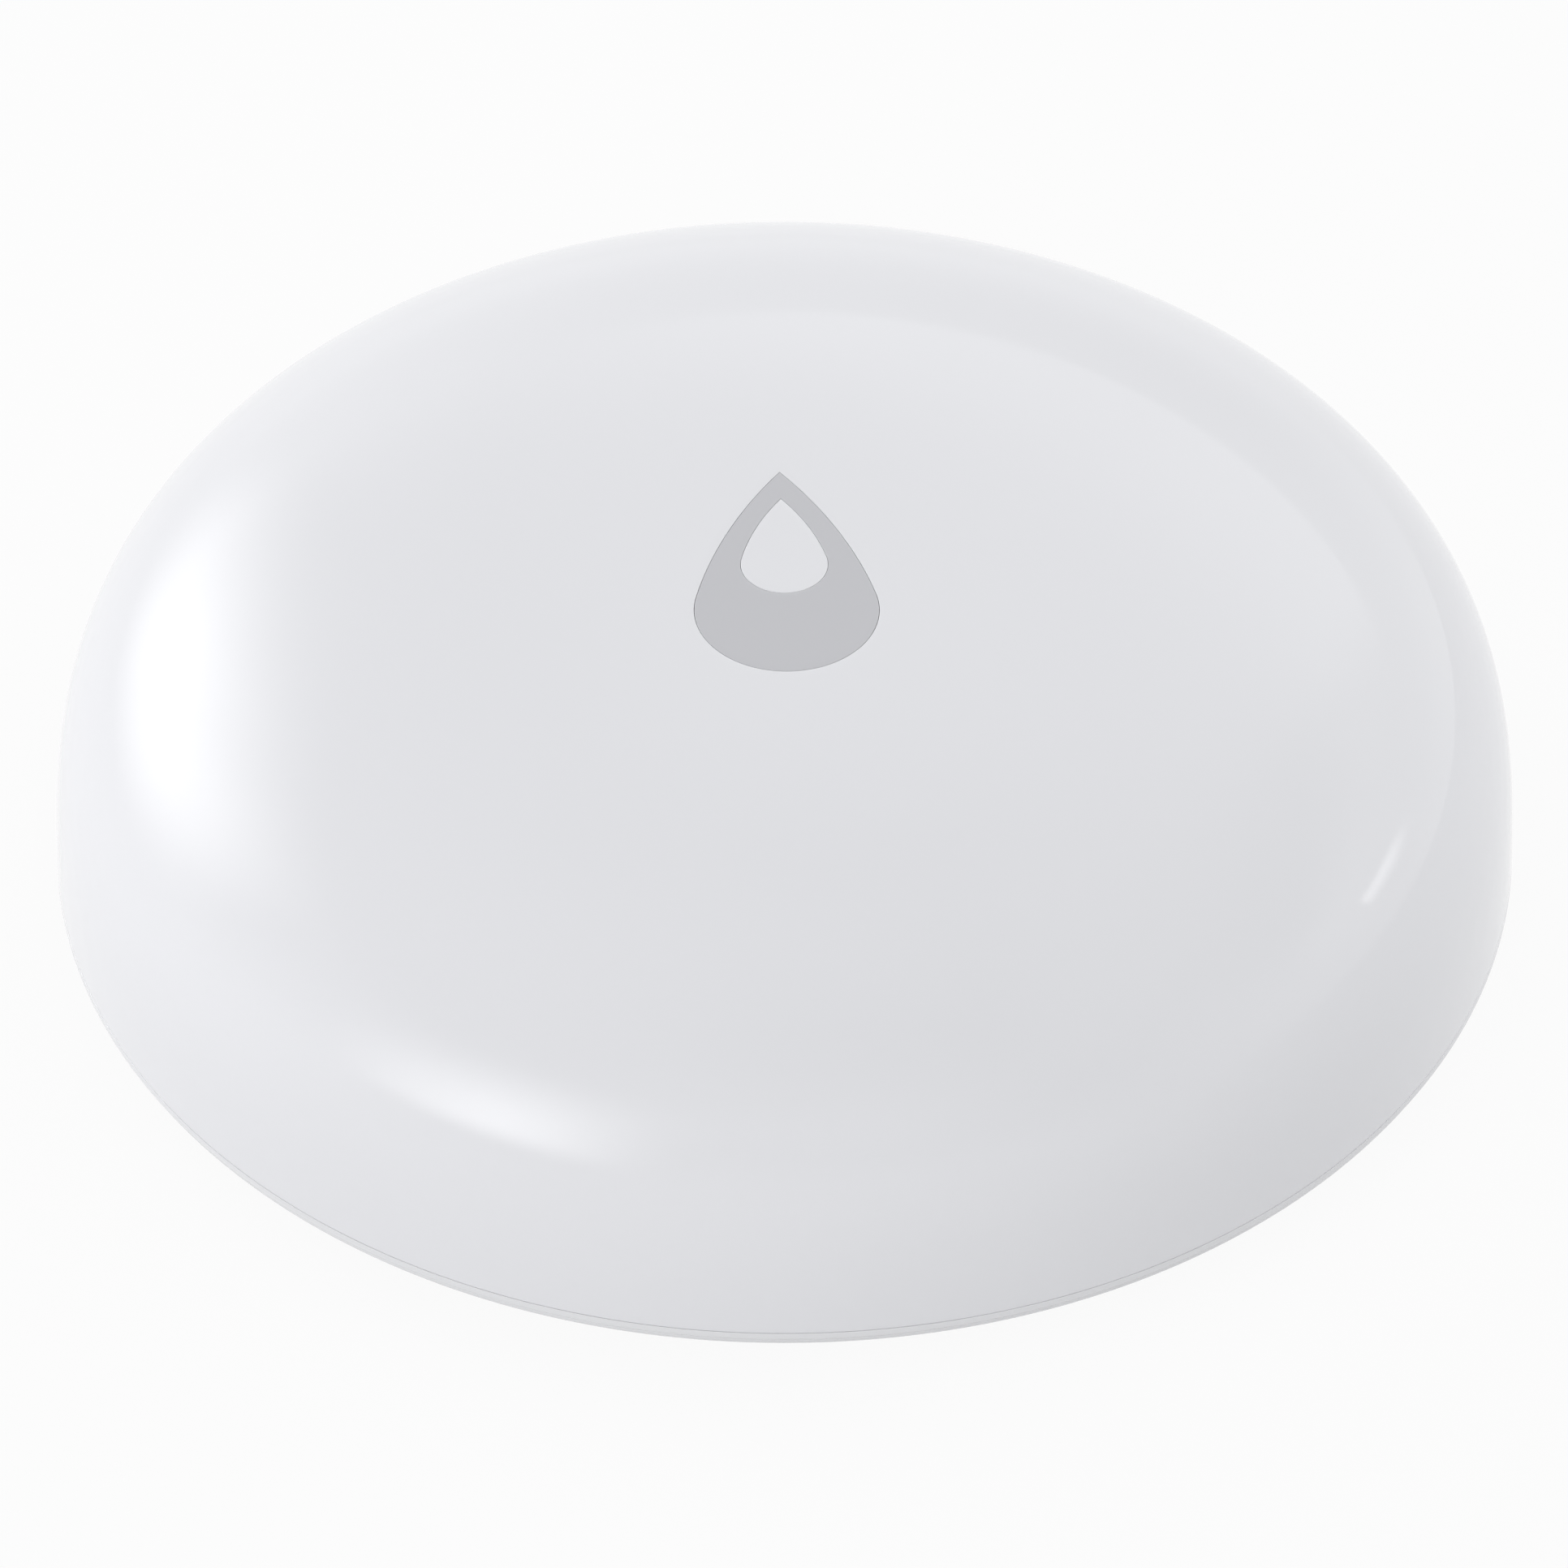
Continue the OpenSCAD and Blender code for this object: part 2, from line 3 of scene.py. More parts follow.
import bpy
import numpy as np
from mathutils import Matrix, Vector

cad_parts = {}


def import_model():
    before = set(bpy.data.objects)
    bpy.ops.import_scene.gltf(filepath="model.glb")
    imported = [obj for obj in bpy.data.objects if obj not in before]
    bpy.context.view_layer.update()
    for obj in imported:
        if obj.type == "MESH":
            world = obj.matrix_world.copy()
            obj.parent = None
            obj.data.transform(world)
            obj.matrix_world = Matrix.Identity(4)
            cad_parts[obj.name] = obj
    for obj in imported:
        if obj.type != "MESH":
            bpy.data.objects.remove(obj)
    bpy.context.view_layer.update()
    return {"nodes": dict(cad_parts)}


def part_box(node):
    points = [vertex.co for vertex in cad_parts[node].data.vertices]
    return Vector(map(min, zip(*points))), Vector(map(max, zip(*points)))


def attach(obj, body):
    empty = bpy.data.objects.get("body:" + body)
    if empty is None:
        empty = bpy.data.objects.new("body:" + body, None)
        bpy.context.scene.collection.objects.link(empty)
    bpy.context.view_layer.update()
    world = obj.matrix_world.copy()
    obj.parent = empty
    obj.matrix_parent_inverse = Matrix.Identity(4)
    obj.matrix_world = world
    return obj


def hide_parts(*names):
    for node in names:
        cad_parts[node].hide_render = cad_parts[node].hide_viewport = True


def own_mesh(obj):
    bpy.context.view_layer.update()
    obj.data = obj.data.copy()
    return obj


# Water leak sensor: a glossy white pebble with a grey drop key in its crown, on a saucer-shaped base
# with two steel probes. Metres, +Z up, and the drop points to +Y.

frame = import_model()

MM = 0.001

# Sizes read from the frame
cover_low, cover_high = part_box("top_cover")
key_low, key_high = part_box("drop_key")
inlay_low, inlay_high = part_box("key_inlay")
_, base_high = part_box("base_shell")
probe_low, probe_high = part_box("probe_screw_right")
membrane_low, membrane_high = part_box("key_membrane")
snap_low, snap_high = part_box("switch_dome")
BODY_R = (cover_high.x - cover_low.x) / 2
CROWN_Z = inlay_high.z
PART_Z = cover_low.z
FLANGE_R = (key_high.x - key_low.x) / 2
PUSHER_Z = key_low.z
INLAY_Z = inlay_low.z
SPIGOT_TOP = base_high.z
PROBE_X = (probe_low.x + probe_high.x) / 2
PROBE_R = (probe_high.x - probe_low.x) / 2
PROBE_LIFT = probe_low.z
PROBE_TOP = probe_high.z
MEMBRANE_R = (membrane_high.x - membrane_low.x) / 2
MEMBRANE_TOP = membrane_high.z
NIB_Z = membrane_low.z
SNAP_R = (snap_high.x - snap_low.x) / 2
SNAP_Z = snap_low.z
SNAP_TOP = snap_high.z

# Dome: a superellipse over the rim plane
RIM_Z = 2.35 * MM
DOME_POWER = 3.45
DOME_H = CROWN_Z - RIM_Z
WALL = 1.8 * MM

# Drop mark
DROP_R = 3.1 * MM
DROP_REACH = 7.05 * MM
DROP_FLANK_R = 17.5 * MM
DROP_Y = -2.1 * MM
INLAY_SHARE = 0.48
INLAY_Y = 0.25 * MM
HOLE_GROW = 0.06 * MM
KEY_GROW = 0.045 * MM
POCKET_GROW = 0.012 * MM
KEY_EDGE = 0.02 * MM

# Parting line: the shown gap is finer than the modelled one
PART_GAP = 0.06 * MM
SEAM_GAP = 0.02 * MM
LIP = 0.03 * MM
BASE_TOP = PART_Z - PART_GAP
SEAM_Z = BASE_TOP + SEAM_GAP

# Cover, inside and foot
FOOT_EDGE = 0.08 * MM
LAND_R = 22.75 * MM
LAND_H = 1.8 * MM
LAND_TOP = PART_Z + LAND_H
LEDGE_H = 1.0 * MM
LEDGE_TOP = LAND_TOP + LEDGE_H
LEDGE_IN = 21.6 * MM
LEDGE_OUT = 23.4 * MM
LEDGE_LAP = 0.4 * MM
LEDGE_ANGLE = math.radians(28)
STOP_FROM = math.radians(11.6)
STOP_ANGLE = math.radians(3)
LUG_PLACES = [math.radians(a) for a in (40, 160, 280)]
POCKET_PLAY = 0.3 * MM
POCKET_R = FLANGE_R + POCKET_PLAY
COLLAR_T = 1.2 * MM
COLLAR_R = POCKET_R + COLLAR_T
COLLAR_Z = 12.1 * MM
CROWN_T = 1.7 * MM
POCKET_Z = CROWN_Z - CROWN_T
POST_R = 2 * MM
POST_AT = 16.8 * MM
POST_Z = 8.1 * MM
POST_BORE = 0.85 * MM
POST_BORE_TOP = 11.5 * MM
POST_EDGE = 0.1 * MM

# Key, below its face
FLANGE_TOP = 13.25 * MM
FLANGE_Z = 12.65 * MM
PUSHER_R = 1.6 * MM

# Membrane and snap dome; on the real sensor they give way to the press
MEMBRANE_T = 0.4 * MM
MEMBRANE_Z = MEMBRANE_TOP - MEMBRANE_T
NIB_R = 1.1 * MM
SNAP_T = 0.1 * MM
PRESS_ROOM = 0.01 * MM

# Base
FOOT_H = 0.8 * MM
FLOOR_Z = 2.2 * MM
UNDER_R = 17.8 * MM
EDGE_BREAK = 0.12 * MM
RIM_EDGE = 0.04 * MM
SPIGOT_R = 21.4 * MM
SPIGOT_IN = 20 * MM
PAD_R = 16.6 * MM
PAD_HALF = 0.8 * MM
PAD_ROUND = 0.3 * MM
PAD_ANGLE = math.radians(28)
TURN_THIRDS = [math.radians(a) for a in (90, 210, 330)]
SLOT_L = 14 * MM
SLOT_W = 2.2 * MM
SLOT_H = 0.7 * MM
SLOT_CORNER = 0.5 * MM
MOUTH = 0.12 * MM
ARROW_R = 11.4 * MM
ARROW_W = 0.6 * MM
ARROW_HEAD = 2.2 * MM
ARROW_H = 0.15 * MM
ARROW_TIP = 0.02 * MM
ARROW_FROM = math.radians(62)
ARROW_ANGLE = math.radians(50)
SEAT_PLAY = 0.15 * MM
SEAT_R = PROBE_R + SEAT_PLAY
SEAT_H = 0.5 * MM
SEAT_Z = FOOT_H + SEAT_H
LUG_PLAY = 0.1 * MM
LUG_Z = LEDGE_TOP + LUG_PLAY
LUG_H = 1.1 * MM
LUG_TOP = LUG_Z + LUG_H
LUG_IN = 21 * MM
LUG_OUT = 22.55 * MM
LUG_ANGLE = math.radians(22)
REST_IN = 5.5 * MM
REST_OUT = 6.7 * MM
REST_H = 0.9 * MM
REST_TOP = FLOOR_Z + REST_H
BOSS_R = 2.5 * MM
BOSS_H = 1.4 * MM
BOSS_TOP = FLOOR_Z + BOSS_H
BOSS_BORE = 1.3 * MM
SINK = 0.4 * MM

# Probe screws
PROBE_ROUND = 0.45 * MM
PROBE_CROWN = 0.06 * MM
HEAD_PLAY = 0.02 * MM
HEAD_TOP = SEAT_Z - HEAD_PLAY
HEAD_EDGE = 0.08 * MM
SHANK_R = 1.25 * MM
SHANK_EDGE = 0.15 * MM
CROSS_L = 3 * MM
CROSS_W = 0.8 * MM
CROSS_H = 0.4 * MM

# Fineness of the meshes
COLUMNS = 384
BASE_COLUMNS = 288
PROBE_COLUMNS = 128
SMALL_COLUMNS = 96
POST_COLUMNS = 48
DOME_ROWS = 150
FACE_ROWS = 26
INLAY_ROWS = 13
EDGE_STEPS = 5
PROBE_STEPS = 8
CURVE_STEPS = 40
FINE_STEPS = 40001
SHARP_ANGLE = math.radians(30)

# Camera: where the photograph was taken from
SENSOR = 36.0
LENS = 669.3
CLIP_NEAR = 0.1
CLIP_FAR = 10.0
CAMERA_REACH = 1.0
CAMERA_TURN = math.radians(-2)
CAMERA_RISE = math.radians(41.67)
AIM = Vector((-0.02 * MM, 0, 5.18 * MM))


# Shapes

def dome_z(r, radius=BODY_R, height=DOME_H):
    """Height of the dome: rim plane + height * (1 - (r / radius) ^ power) ^ (1 / power)."""
    return RIM_Z + height * (1 - (r / radius) ** DOME_POWER) ** (1 / DOME_POWER)


def dome_line(radius, height, foot_z, count):
    """The dome's profile from the axis down to foot_z: r = radius * cos(t) ^ (2 / power) and
    z = height * sin(t) ^ (2 / power), with t running from a right angle to the foot."""
    foot = math.asin(((foot_z - RIM_Z) / height) ** (DOME_POWER / 2))
    t = np.linspace(math.pi / 2, foot, count)
    r = radius * np.abs(np.cos(t)) ** (2 / DOME_POWER)
    return r, RIM_Z + height * np.sin(t) ** (2 / DOME_POWER)


def turn_angles(columns):
    """Even angles of one full turn, without the repeated end."""
    return np.linspace(0, 2 * np.pi, columns, endpoint=False)


def drop_radius(angle, share=1.0, centre_y=DROP_Y, grow=0.0):
    """Distance from the axis to a drop's edge in each direction: to the round end's circle, and above
    the points where the flanks begin to the nearer of the two flank circles."""
    r = share * DROP_R
    reach = share * DROP_REACH
    flank = share * DROP_FLANK_R
    lean = math.asin((2 * flank * r - r * r - reach * reach) / (2 * reach * (flank - r)))
    side = (flank - r) * math.cos(lean)
    level = centre_y - (flank - r) * math.sin(lean)
    across, up = np.cos(angle), np.sin(angle)

    def to_circle(x, y, radius):
        """Distance from the axis to the far side of a circle about (x, y)."""
        along = across * x + up * y
        return along + np.sqrt(radius ** 2 - x ** 2 - y ** 2 + along ** 2)

    round_end = to_circle(0, centre_y, r + grow)
    flanks = np.minimum(to_circle(-side, level, flank + grow), to_circle(side, level, flank + grow))
    flank_start = math.atan2(centre_y + (r + grow) * math.sin(lean), (r + grow) * math.cos(lean))
    return np.where(np.arctan2(up, np.abs(across)) > flank_start, flanks, round_end)


def rounded_line(corners, steps=EDGE_STEPS, hold=0.4):
    """A profile through corners (r, z, radius). Each corner with a radius becomes a quadratic curve
    between the points one radius away on both sides, with a holding point beside each end of it."""
    points = np.array([c[:2] for c in corners], float)
    line = []
    for i, (_, _, radius) in enumerate(corners):
        here = points[i]
        if radius == 0 or i in (0, len(corners) - 1):
            line.append(here)
            continue
        back = points[i - 1] - here
        ahead = points[i + 1] - here
        back *= radius / np.linalg.norm(back)
        ahead *= radius / np.linalg.norm(ahead)
        s = np.linspace(0, 1, steps + 1)[:, None]
        line.append(here + back * (1 + hold))
        line.extend(here + back * (1 - s) ** 2 + ahead * s ** 2)
        line.append(here + ahead * (1 + hold))
    return np.array(line)


def turned(rows, columns):
    """Rings round the axis from rows of (r, z), where r and z are numbers or one value a direction."""
    angle = turn_angles(columns)
    r = np.array([np.broadcast_to(row[0], columns) for row in rows])
    z = np.array([np.broadcast_to(row[1], columns) for row in rows])
    return np.stack([r * np.cos(angle), r * np.sin(angle), z], axis=-1)


def loft(name, rings, top=None, bottom=None, loop=False):
    """Skin over rings (rows x columns x 3): quads between neighbouring rings and fans of triangles to
    the top and bottom points. loop joins the last ring to the first. Rings that run outwards and down
    from the top give faces that point outwards."""
    rows, columns, _ = rings.shape
    points = rings.reshape(-1, 3)
    index = np.arange(rows * columns).reshape(rows, columns)
    upper = index if loop else index[:-1]
    lower = np.roll(index, -1, axis=0) if loop else index[1:]
    quads = np.stack([upper, lower, np.roll(lower, -1, axis=1), np.roll(upper, -1, axis=1)], axis=-1)
    fans = []
    for pole, ring, order in ((top, index[0], 1), (bottom, index[-1], -1)):
        if pole is not None:
            points = np.vstack([points, pole])
            fan = np.stack([np.full(columns, len(points) - 1), ring, np.roll(ring, -1)], axis=-1)
            fans.append(fan[:, ::order])
    return fill_mesh(name, points, quads.reshape(-1, 4), fans)


def fill_mesh(name, points, quads, fans):
    """A smooth mesh from points, quads and a list of triangle arrays."""
    triangles = np.concatenate(fans) if fans else np.zeros((0, 3), int)
    corners = np.concatenate([quads.ravel(), triangles.ravel()]).astype(np.int32)
    sizes = np.concatenate([np.full(len(quads), 4), np.full(len(triangles), 3)])
    starts = (np.cumsum(sizes) - sizes).astype(np.int32)
    mesh = bpy.data.meshes.new(name)
    mesh.vertices.add(len(points))
    mesh.vertices.foreach_set("co", points.astype(np.float32).ravel())
    mesh.loops.add(len(corners))
    mesh.loops.foreach_set("vertex_index", corners)
    mesh.polygons.add(len(sizes))
    mesh.polygons.foreach_set("loop_start", starts)
    mesh.polygons.foreach_set("use_smooth", np.ones(len(sizes), bool))
    mesh.update(calc_edges=True)
    return mesh


def prism_rings(outline, levels):
    """Rings of an upright prism: the outline (columns x 2, counter-clockwise) moved out along its own
    normals by each level's offset, at each level's height. levels run from the top down."""
    ahead = np.roll(outline, -1, axis=0) - np.roll(outline, 1, axis=0)
    ahead /= np.linalg.norm(ahead, axis=1, keepdims=True)
    normal = np.stack([ahead[:, 1], -ahead[:, 0]], axis=-1)
    flat = [outline + normal * offset for _, offset in levels]
    heights = [np.full((len(outline), 1), z) for z, _ in levels]
    return np.array([np.hstack(pair) for pair in zip(flat, heights)])


def prism(name, outline, levels):
    """A closed prism over an outline: its rings with a flat fan at both ends."""
    rings = prism_rings(outline, levels)
    return loft(name, rings, top=rings[0].mean(axis=0), bottom=rings[-1].mean(axis=0))


def mouth_levels(depth_z, open_z, below, flare):
    """Levels of a cut from its floor down through a rounded mouth at open_z and out past it."""
    a = np.linspace(0, math.pi / 2, EDGE_STEPS + 1)
    round_mouth = [(open_z + flare * math.cos(t), flare * (1 - math.sin(math.pi / 2 - t))) for t in a]
    return [(depth_z, 0.0)] + round_mouth + [(open_z - below, flare)]


def show(name, mesh, body, slot, *nodes):
    """A shown piece that moves with a body and stands for the named nodes."""
    obj = bpy.data.objects.new(name, mesh)
    bpy.context.scene.collection.objects.link(obj)
    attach(obj, body)
    if nodes:
        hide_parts(*nodes)
    return obj


def carve(mesh, cuts, joins=()):
    """The mesh with other closed meshes joined to it and cut out of it, edges sharp past SHARP_ANGLE."""
    scene = bpy.context.scene
    work = bpy.data.objects.new(mesh.name + ".work", mesh)
    scene.collection.objects.link(work)
    tools = []
    for operation, meshes in (("UNION", joins), ("DIFFERENCE", cuts)):
        for other in meshes:
            tool = bpy.data.objects.new(other.name, other)
            scene.collection.objects.link(tool)
            tools.append(tool)
            step = work.modifiers.new(operation.lower(), "BOOLEAN")
            step.operation = operation
            step.solver = "EXACT"
            step.object = tool
    bpy.context.view_layer.update()
    graph = bpy.context.evaluated_depsgraph_get()
    result = bpy.data.meshes.new_from_object(work.evaluated_get(graph))
    result.name = mesh.name + ".carved"
    for obj in tools + [work]:
        bpy.data.objects.remove(obj)
    result.polygons.foreach_set("use_smooth", np.ones(len(result.polygons), bool))
    result.set_sharp_from_angle(angle=SHARP_ANGLE)
    return result


# Pieces

def cover_mesh():
    """Domed shell as one loop of rings: over the hole's rounded edge, down the dome by even steps of
    arc length, round the foot, up the inside with its land and collar, and back to the hole."""
    angle = turn_angles(COLUMNS)
    hole = drop_radius(angle, grow=HOLE_GROW)
    turn = np.linspace(0, math.pi / 2, EDGE_STEPS + 1)
    lip = [(hole + KEY_EDGE * (1 - math.cos(a)), dome_z(hole + KEY_EDGE) - KEY_EDGE * (1 - math.sin(a)))
           for a in turn]
    fine_r, fine_z = dome_line(BODY_R, DOME_H, SEAM_Z + LIP, FINE_STEPS)
    run = np.concatenate([[0], np.cumsum(np.hypot(np.diff(fine_r), np.diff(fine_z)))])
    start = np.interp(hole + KEY_EDGE, fine_r, run)
    dome = []
    for share in np.linspace(0, 1, DOME_ROWS)[1:]:
        along = start + (run[-1] - start) * share
        dome.append((np.interp(along, run, fine_r), np.interp(along, run, fine_z)))
    inner_r, inner_z = dome_line(BODY_R - WALL, DOME_H - WALL, LAND_TOP, CURVE_STEPS)
    inner = [(r, z, 0) for r, z in zip(inner_r[::-1], inner_z[::-1]) if r > COLLAR_R]
    collar_top = dome_z(COLLAR_R, BODY_R - WALL, DOME_H - WALL)
    foot = [
        (BODY_R - LIP * (1 - math.cos(a)), SEAM_Z + LIP * (1 - math.sin(a)))
        for a in turn[1:]
    ]
    inside = rounded_line([
        (BODY_R - 2 * LIP, SEAM_Z, 0),
        (LAND_R, SEAM_Z, FOOT_EDGE),
        (LAND_R, LAND_TOP, FOOT_EDGE),
        *inner,
        (COLLAR_R, collar_top, 0),
        (COLLAR_R, COLLAR_Z, FOOT_EDGE),
        (POCKET_R, COLLAR_Z, FOOT_EDGE),
        (POCKET_R, POCKET_Z, 0),
    ])
    throat = [(hole, POCKET_Z)]
    return loft("cover_shell", turned(lip + dome + foot + list(inside) + throat, COLUMNS), loop=True)


def post_mesh(place):
    """Screw post under the dome: a turned tube with a blind bore, set at one of the three places."""
    top = dome_z(POST_AT, BODY_R - WALL, DOME_H - WALL)
    bore = rounded_line([
        (POST_R, top, 0),
        (POST_R, POST_Z, POST_EDGE),
        (POST_BORE, POST_Z, POST_EDGE),
        (POST_BORE, POST_BORE_TOP, 0),
    ])
    rings = turned(bore, POST_COLUMNS)
    rings[..., 0] += POST_AT * math.cos(place)
    rings[..., 1] += POST_AT * math.sin(place)
    centre = [POST_AT * math.cos(place), POST_AT * math.sin(place)]
    return loft("cover_post", rings, top=[*centre, top], bottom=[*centre, POST_BORE_TOP])


def key_mesh():
    """Drop-shaped key: pocket floor, pocket wall, the face on the dome between inner and outer drop,
    the wall down to a round flange and the pusher below."""
    angle = turn_angles(COLUMNS)
    inner = drop_radius(angle, INLAY_SHARE, INLAY_Y, POCKET_GROW)
    outer = drop_radius(angle, grow=KEY_GROW)
    turn = np.linspace(0, math.pi / 2, EDGE_STEPS + 1)
    face_in = inner + KEY_EDGE
    face_out = outer - KEY_EDGE
    pocket = [(inner / 2, INLAY_Z), (inner, INLAY_Z)]
    pocket_lip = [(inner + KEY_EDGE * (1 - math.cos(a)), dome_z(face_in) - KEY_EDGE * (1 - math.sin(a)))
                  for a in turn]
    face = [(face_in + (face_out - face_in) * s, dome_z(face_in + (face_out - face_in) * s))
            for s in np.linspace(0, 1, FACE_ROWS)[1:]]
    rim = [(outer - KEY_EDGE * (1 - math.sin(a)), dome_z(face_out) - KEY_EDGE * (1 - math.cos(a)))
           for a in turn[1:]]
    below = rounded_line([
        (FLANGE_R - 2 * FOOT_EDGE, FLANGE_TOP, 0),
        (FLANGE_R, FLANGE_TOP, FOOT_EDGE),
        (FLANGE_R, FLANGE_Z, FOOT_EDGE),
        (PUSHER_R, FLANGE_Z, 0),
        (PUSHER_R, PUSHER_Z, FOOT_EDGE),
        (PUSHER_R / 2, PUSHER_Z, 0),
    ])
    rows = pocket + pocket_lip + face + rim + [(outer, FLANGE_TOP)] + list(below)
    return loft("drop_key_face", turned(rows, COLUMNS), top=[0, 0, INLAY_Z], bottom=[0, 0, PUSHER_Z])


def inlay_mesh():
    """Small inner drop: its face on the dome, a rounded edge, the wall and the flat underside."""
    angle = turn_angles(COLUMNS)
    outer = drop_radius(angle, INLAY_SHARE, INLAY_Y)
    turn = np.linspace(0, math.pi / 2, EDGE_STEPS + 1)
    face_out = outer - KEY_EDGE
    face = [(face_out * s, dome_z(face_out * s)) for s in np.linspace(0, 1, INLAY_ROWS)[1:]]
    rim = [(outer - KEY_EDGE * (1 - math.sin(a)), dome_z(face_out) - KEY_EDGE * (1 - math.cos(a)))
           for a in turn[1:]]
    under = [(outer, INLAY_Z), (outer / 2, INLAY_Z)]
    rings = turned(face + rim + under, COLUMNS)
    return loft("inlay_face", rings, top=[0, 0, CROWN_Z], bottom=[0, 0, INLAY_Z])


def sheet_mesh():
    """Membrane: a flat round sheet with a rounded edge."""
    profile = rounded_line([
        (MEMBRANE_R / 2, MEMBRANE_TOP, 0),
        (MEMBRANE_R, MEMBRANE_TOP, FOOT_EDGE),
        (MEMBRANE_R, MEMBRANE_Z, FOOT_EDGE),
        (MEMBRANE_R / 2, MEMBRANE_Z, 0),
    ])
    rings = turned(profile, SMALL_COLUMNS)
    return loft("membrane_sheet", rings, top=[0, 0, MEMBRANE_TOP], bottom=[0, 0, MEMBRANE_Z])


def nib_mesh():
    """The membrane's nib over the switch: a short round peg with a rounded lower edge."""
    nib_top = MEMBRANE_Z - PRESS_ROOM
    profile = rounded_line([
        (NIB_R / 2, nib_top, 0),
        (NIB_R, nib_top, 0),
        (NIB_R, NIB_Z, FOOT_EDGE),
        (NIB_R / 2, NIB_Z, 0),
    ])
    rings = turned(profile, SMALL_COLUMNS)
    return loft("membrane_nib", rings, top=[0, 0, nib_top], bottom=[0, 0, NIB_Z])


def snap_mesh():
    """Snap dome: a ball's cap, z = centre + sqrt(ball ^ 2 - r ^ 2), with a smaller ball's cap about the
    same centre as its underside and a flat foot between them."""
    reach = SNAP_R + SNAP_T
    rise = SNAP_TOP - SNAP_Z
    ball = (reach ** 2 + rise ** 2) / (2 * rise)
    centre = SNAP_TOP - ball
    inner_ball = ball - SNAP_T
    inner_r = math.sqrt(inner_ball ** 2 - (SNAP_Z - centre) ** 2)
    share = np.linspace(0, 1, CURVE_STEPS)[1:]
    over_r = SNAP_R * share
    under_r = inner_r * share[::-1]
    over = zip(over_r, centre + np.sqrt(ball ** 2 - over_r ** 2))
    under = zip(under_r, centre + np.sqrt(inner_ball ** 2 - under_r ** 2))
    rings = turned([*over, (SNAP_R, SNAP_Z), *under], SMALL_COLUMNS)
    return loft("snap_dome", rings, top=[0, 0, SNAP_TOP], bottom=[0, 0, SNAP_TOP - SNAP_T])


def pad_outline(count=24):
    """A foot pad seen from above: a bean along an arc of radius PAD_R with half-round ends."""
    half = PAD_ANGLE / 2 - PAD_HALF / PAD_R
    sweep = np.linspace(-half, half, count)
    cap = np.linspace(0, math.pi, count)[1:-1]
    outer = (PAD_R + PAD_HALF) * np.stack([np.cos(sweep), np.sin(sweep)], axis=-1)
    inner = (PAD_R - PAD_HALF) * np.stack([np.cos(sweep[::-1]), np.sin(sweep[::-1])], axis=-1)
    far = PAD_R * np.array([math.cos(half), math.sin(half)])
    near = PAD_R * np.array([math.cos(half), -math.sin(half)])
    far_turn = half + cap
    near_turn = math.pi - half + cap
    far_cap = far + PAD_HALF * np.stack([np.cos(far_turn), np.sin(far_turn)], axis=-1)
    near_cap = near + PAD_HALF * np.stack([np.cos(near_turn), np.sin(near_turn)], axis=-1)
    return np.concatenate([outer, far_cap, inner, near_cap])


def spun(outline, angle):
    """An outline turned about the axis."""
    c, s = math.cos(angle), math.sin(angle)
    return outline @ np.array([[c, s], [-s, c]])


def pad_mesh(place):
    """A foot pad: the bean's prism with a rounded lower edge that stands on the floor."""
    a = np.linspace(0, math.pi / 2, EDGE_STEPS + 1)
    round_edge = [(PAD_ROUND * (1 - math.sin(t)), -PAD_ROUND * (1 - math.cos(t))) for t in a]
    return prism("foot_pad", spun(pad_outline(), place), [(FOOT_H + SINK, 0.0)] + round_edge)


def slot_outline(count=8):
    """The coin slot seen from above: a rectangle with rounded corners."""
    corner = np.linspace(0, math.pi / 2, count)
    x, y = SLOT_L / 2 - SLOT_CORNER, SLOT_W / 2 - SLOT_CORNER
    quarters = [(x, y, 0), (-x, y, 1), (-x, -y, 2), (x, -y, 3)]
    return np.concatenate([
        np.stack([cx + SLOT_CORNER * np.cos(corner + q * math.pi / 2),
                  cy + SLOT_CORNER * np.sin(corner + q * math.pi / 2)], axis=-1)
        for cx, cy, q in quarters
    ])


def led_round(name, angle, r_in, r_out, low, high):
    """A bar led round the axis: at each angle a rectangle from r_in to r_out and from low to high,
    closed at both ends."""
    r = np.stack([r_out, r_in, r_in, r_out], axis=-1)
    z = np.broadcast_to([high, high, low, low], r.shape)
    rings = np.stack([r * np.cos(angle)[:, None], r * np.sin(angle)[:, None], z], axis=-1)
    return loft(name, rings, top=rings[0].mean(axis=0), bottom=rings[-1].mean(axis=0))


def bar_mesh(name, place, sweep, r_in, r_out, low, high, count=17):
    """A piece of a ring, centred on one place and as long as the sweep."""
    angle = np.linspace(place - sweep / 2, place + sweep / 2, count)
    return led_round(name, angle, np.full(count, r_in), np.full(count, r_out), low, high)


def arrow_mesh(start, count=40):
    """Cut of a turn arrow: a band along an arc, then a head that narrows evenly to its tip."""
    band = np.linspace(start, start + ARROW_ANGLE, count)
    head = np.linspace(band[-1], band[-1] + ARROW_HEAD / ARROW_R, EDGE_STEPS)
    angle = np.concatenate([band, head])
    half_head = np.linspace(ARROW_HEAD / 2, ARROW_TIP, EDGE_STEPS)
    half = np.concatenate([np.full(count, ARROW_W / 2), half_head])
    return led_round("turn_arrow", angle, ARROW_R - half, ARROW_R + half, FOOT_H - SINK, FOOT_H + ARROW_H)


def ring_outline(radius, x):
    """A circle seen from above, moved along x."""
    angle = turn_angles(SMALL_COLUMNS)
    return np.stack([x + radius * np.cos(angle), radius * np.sin(angle)], axis=-1)


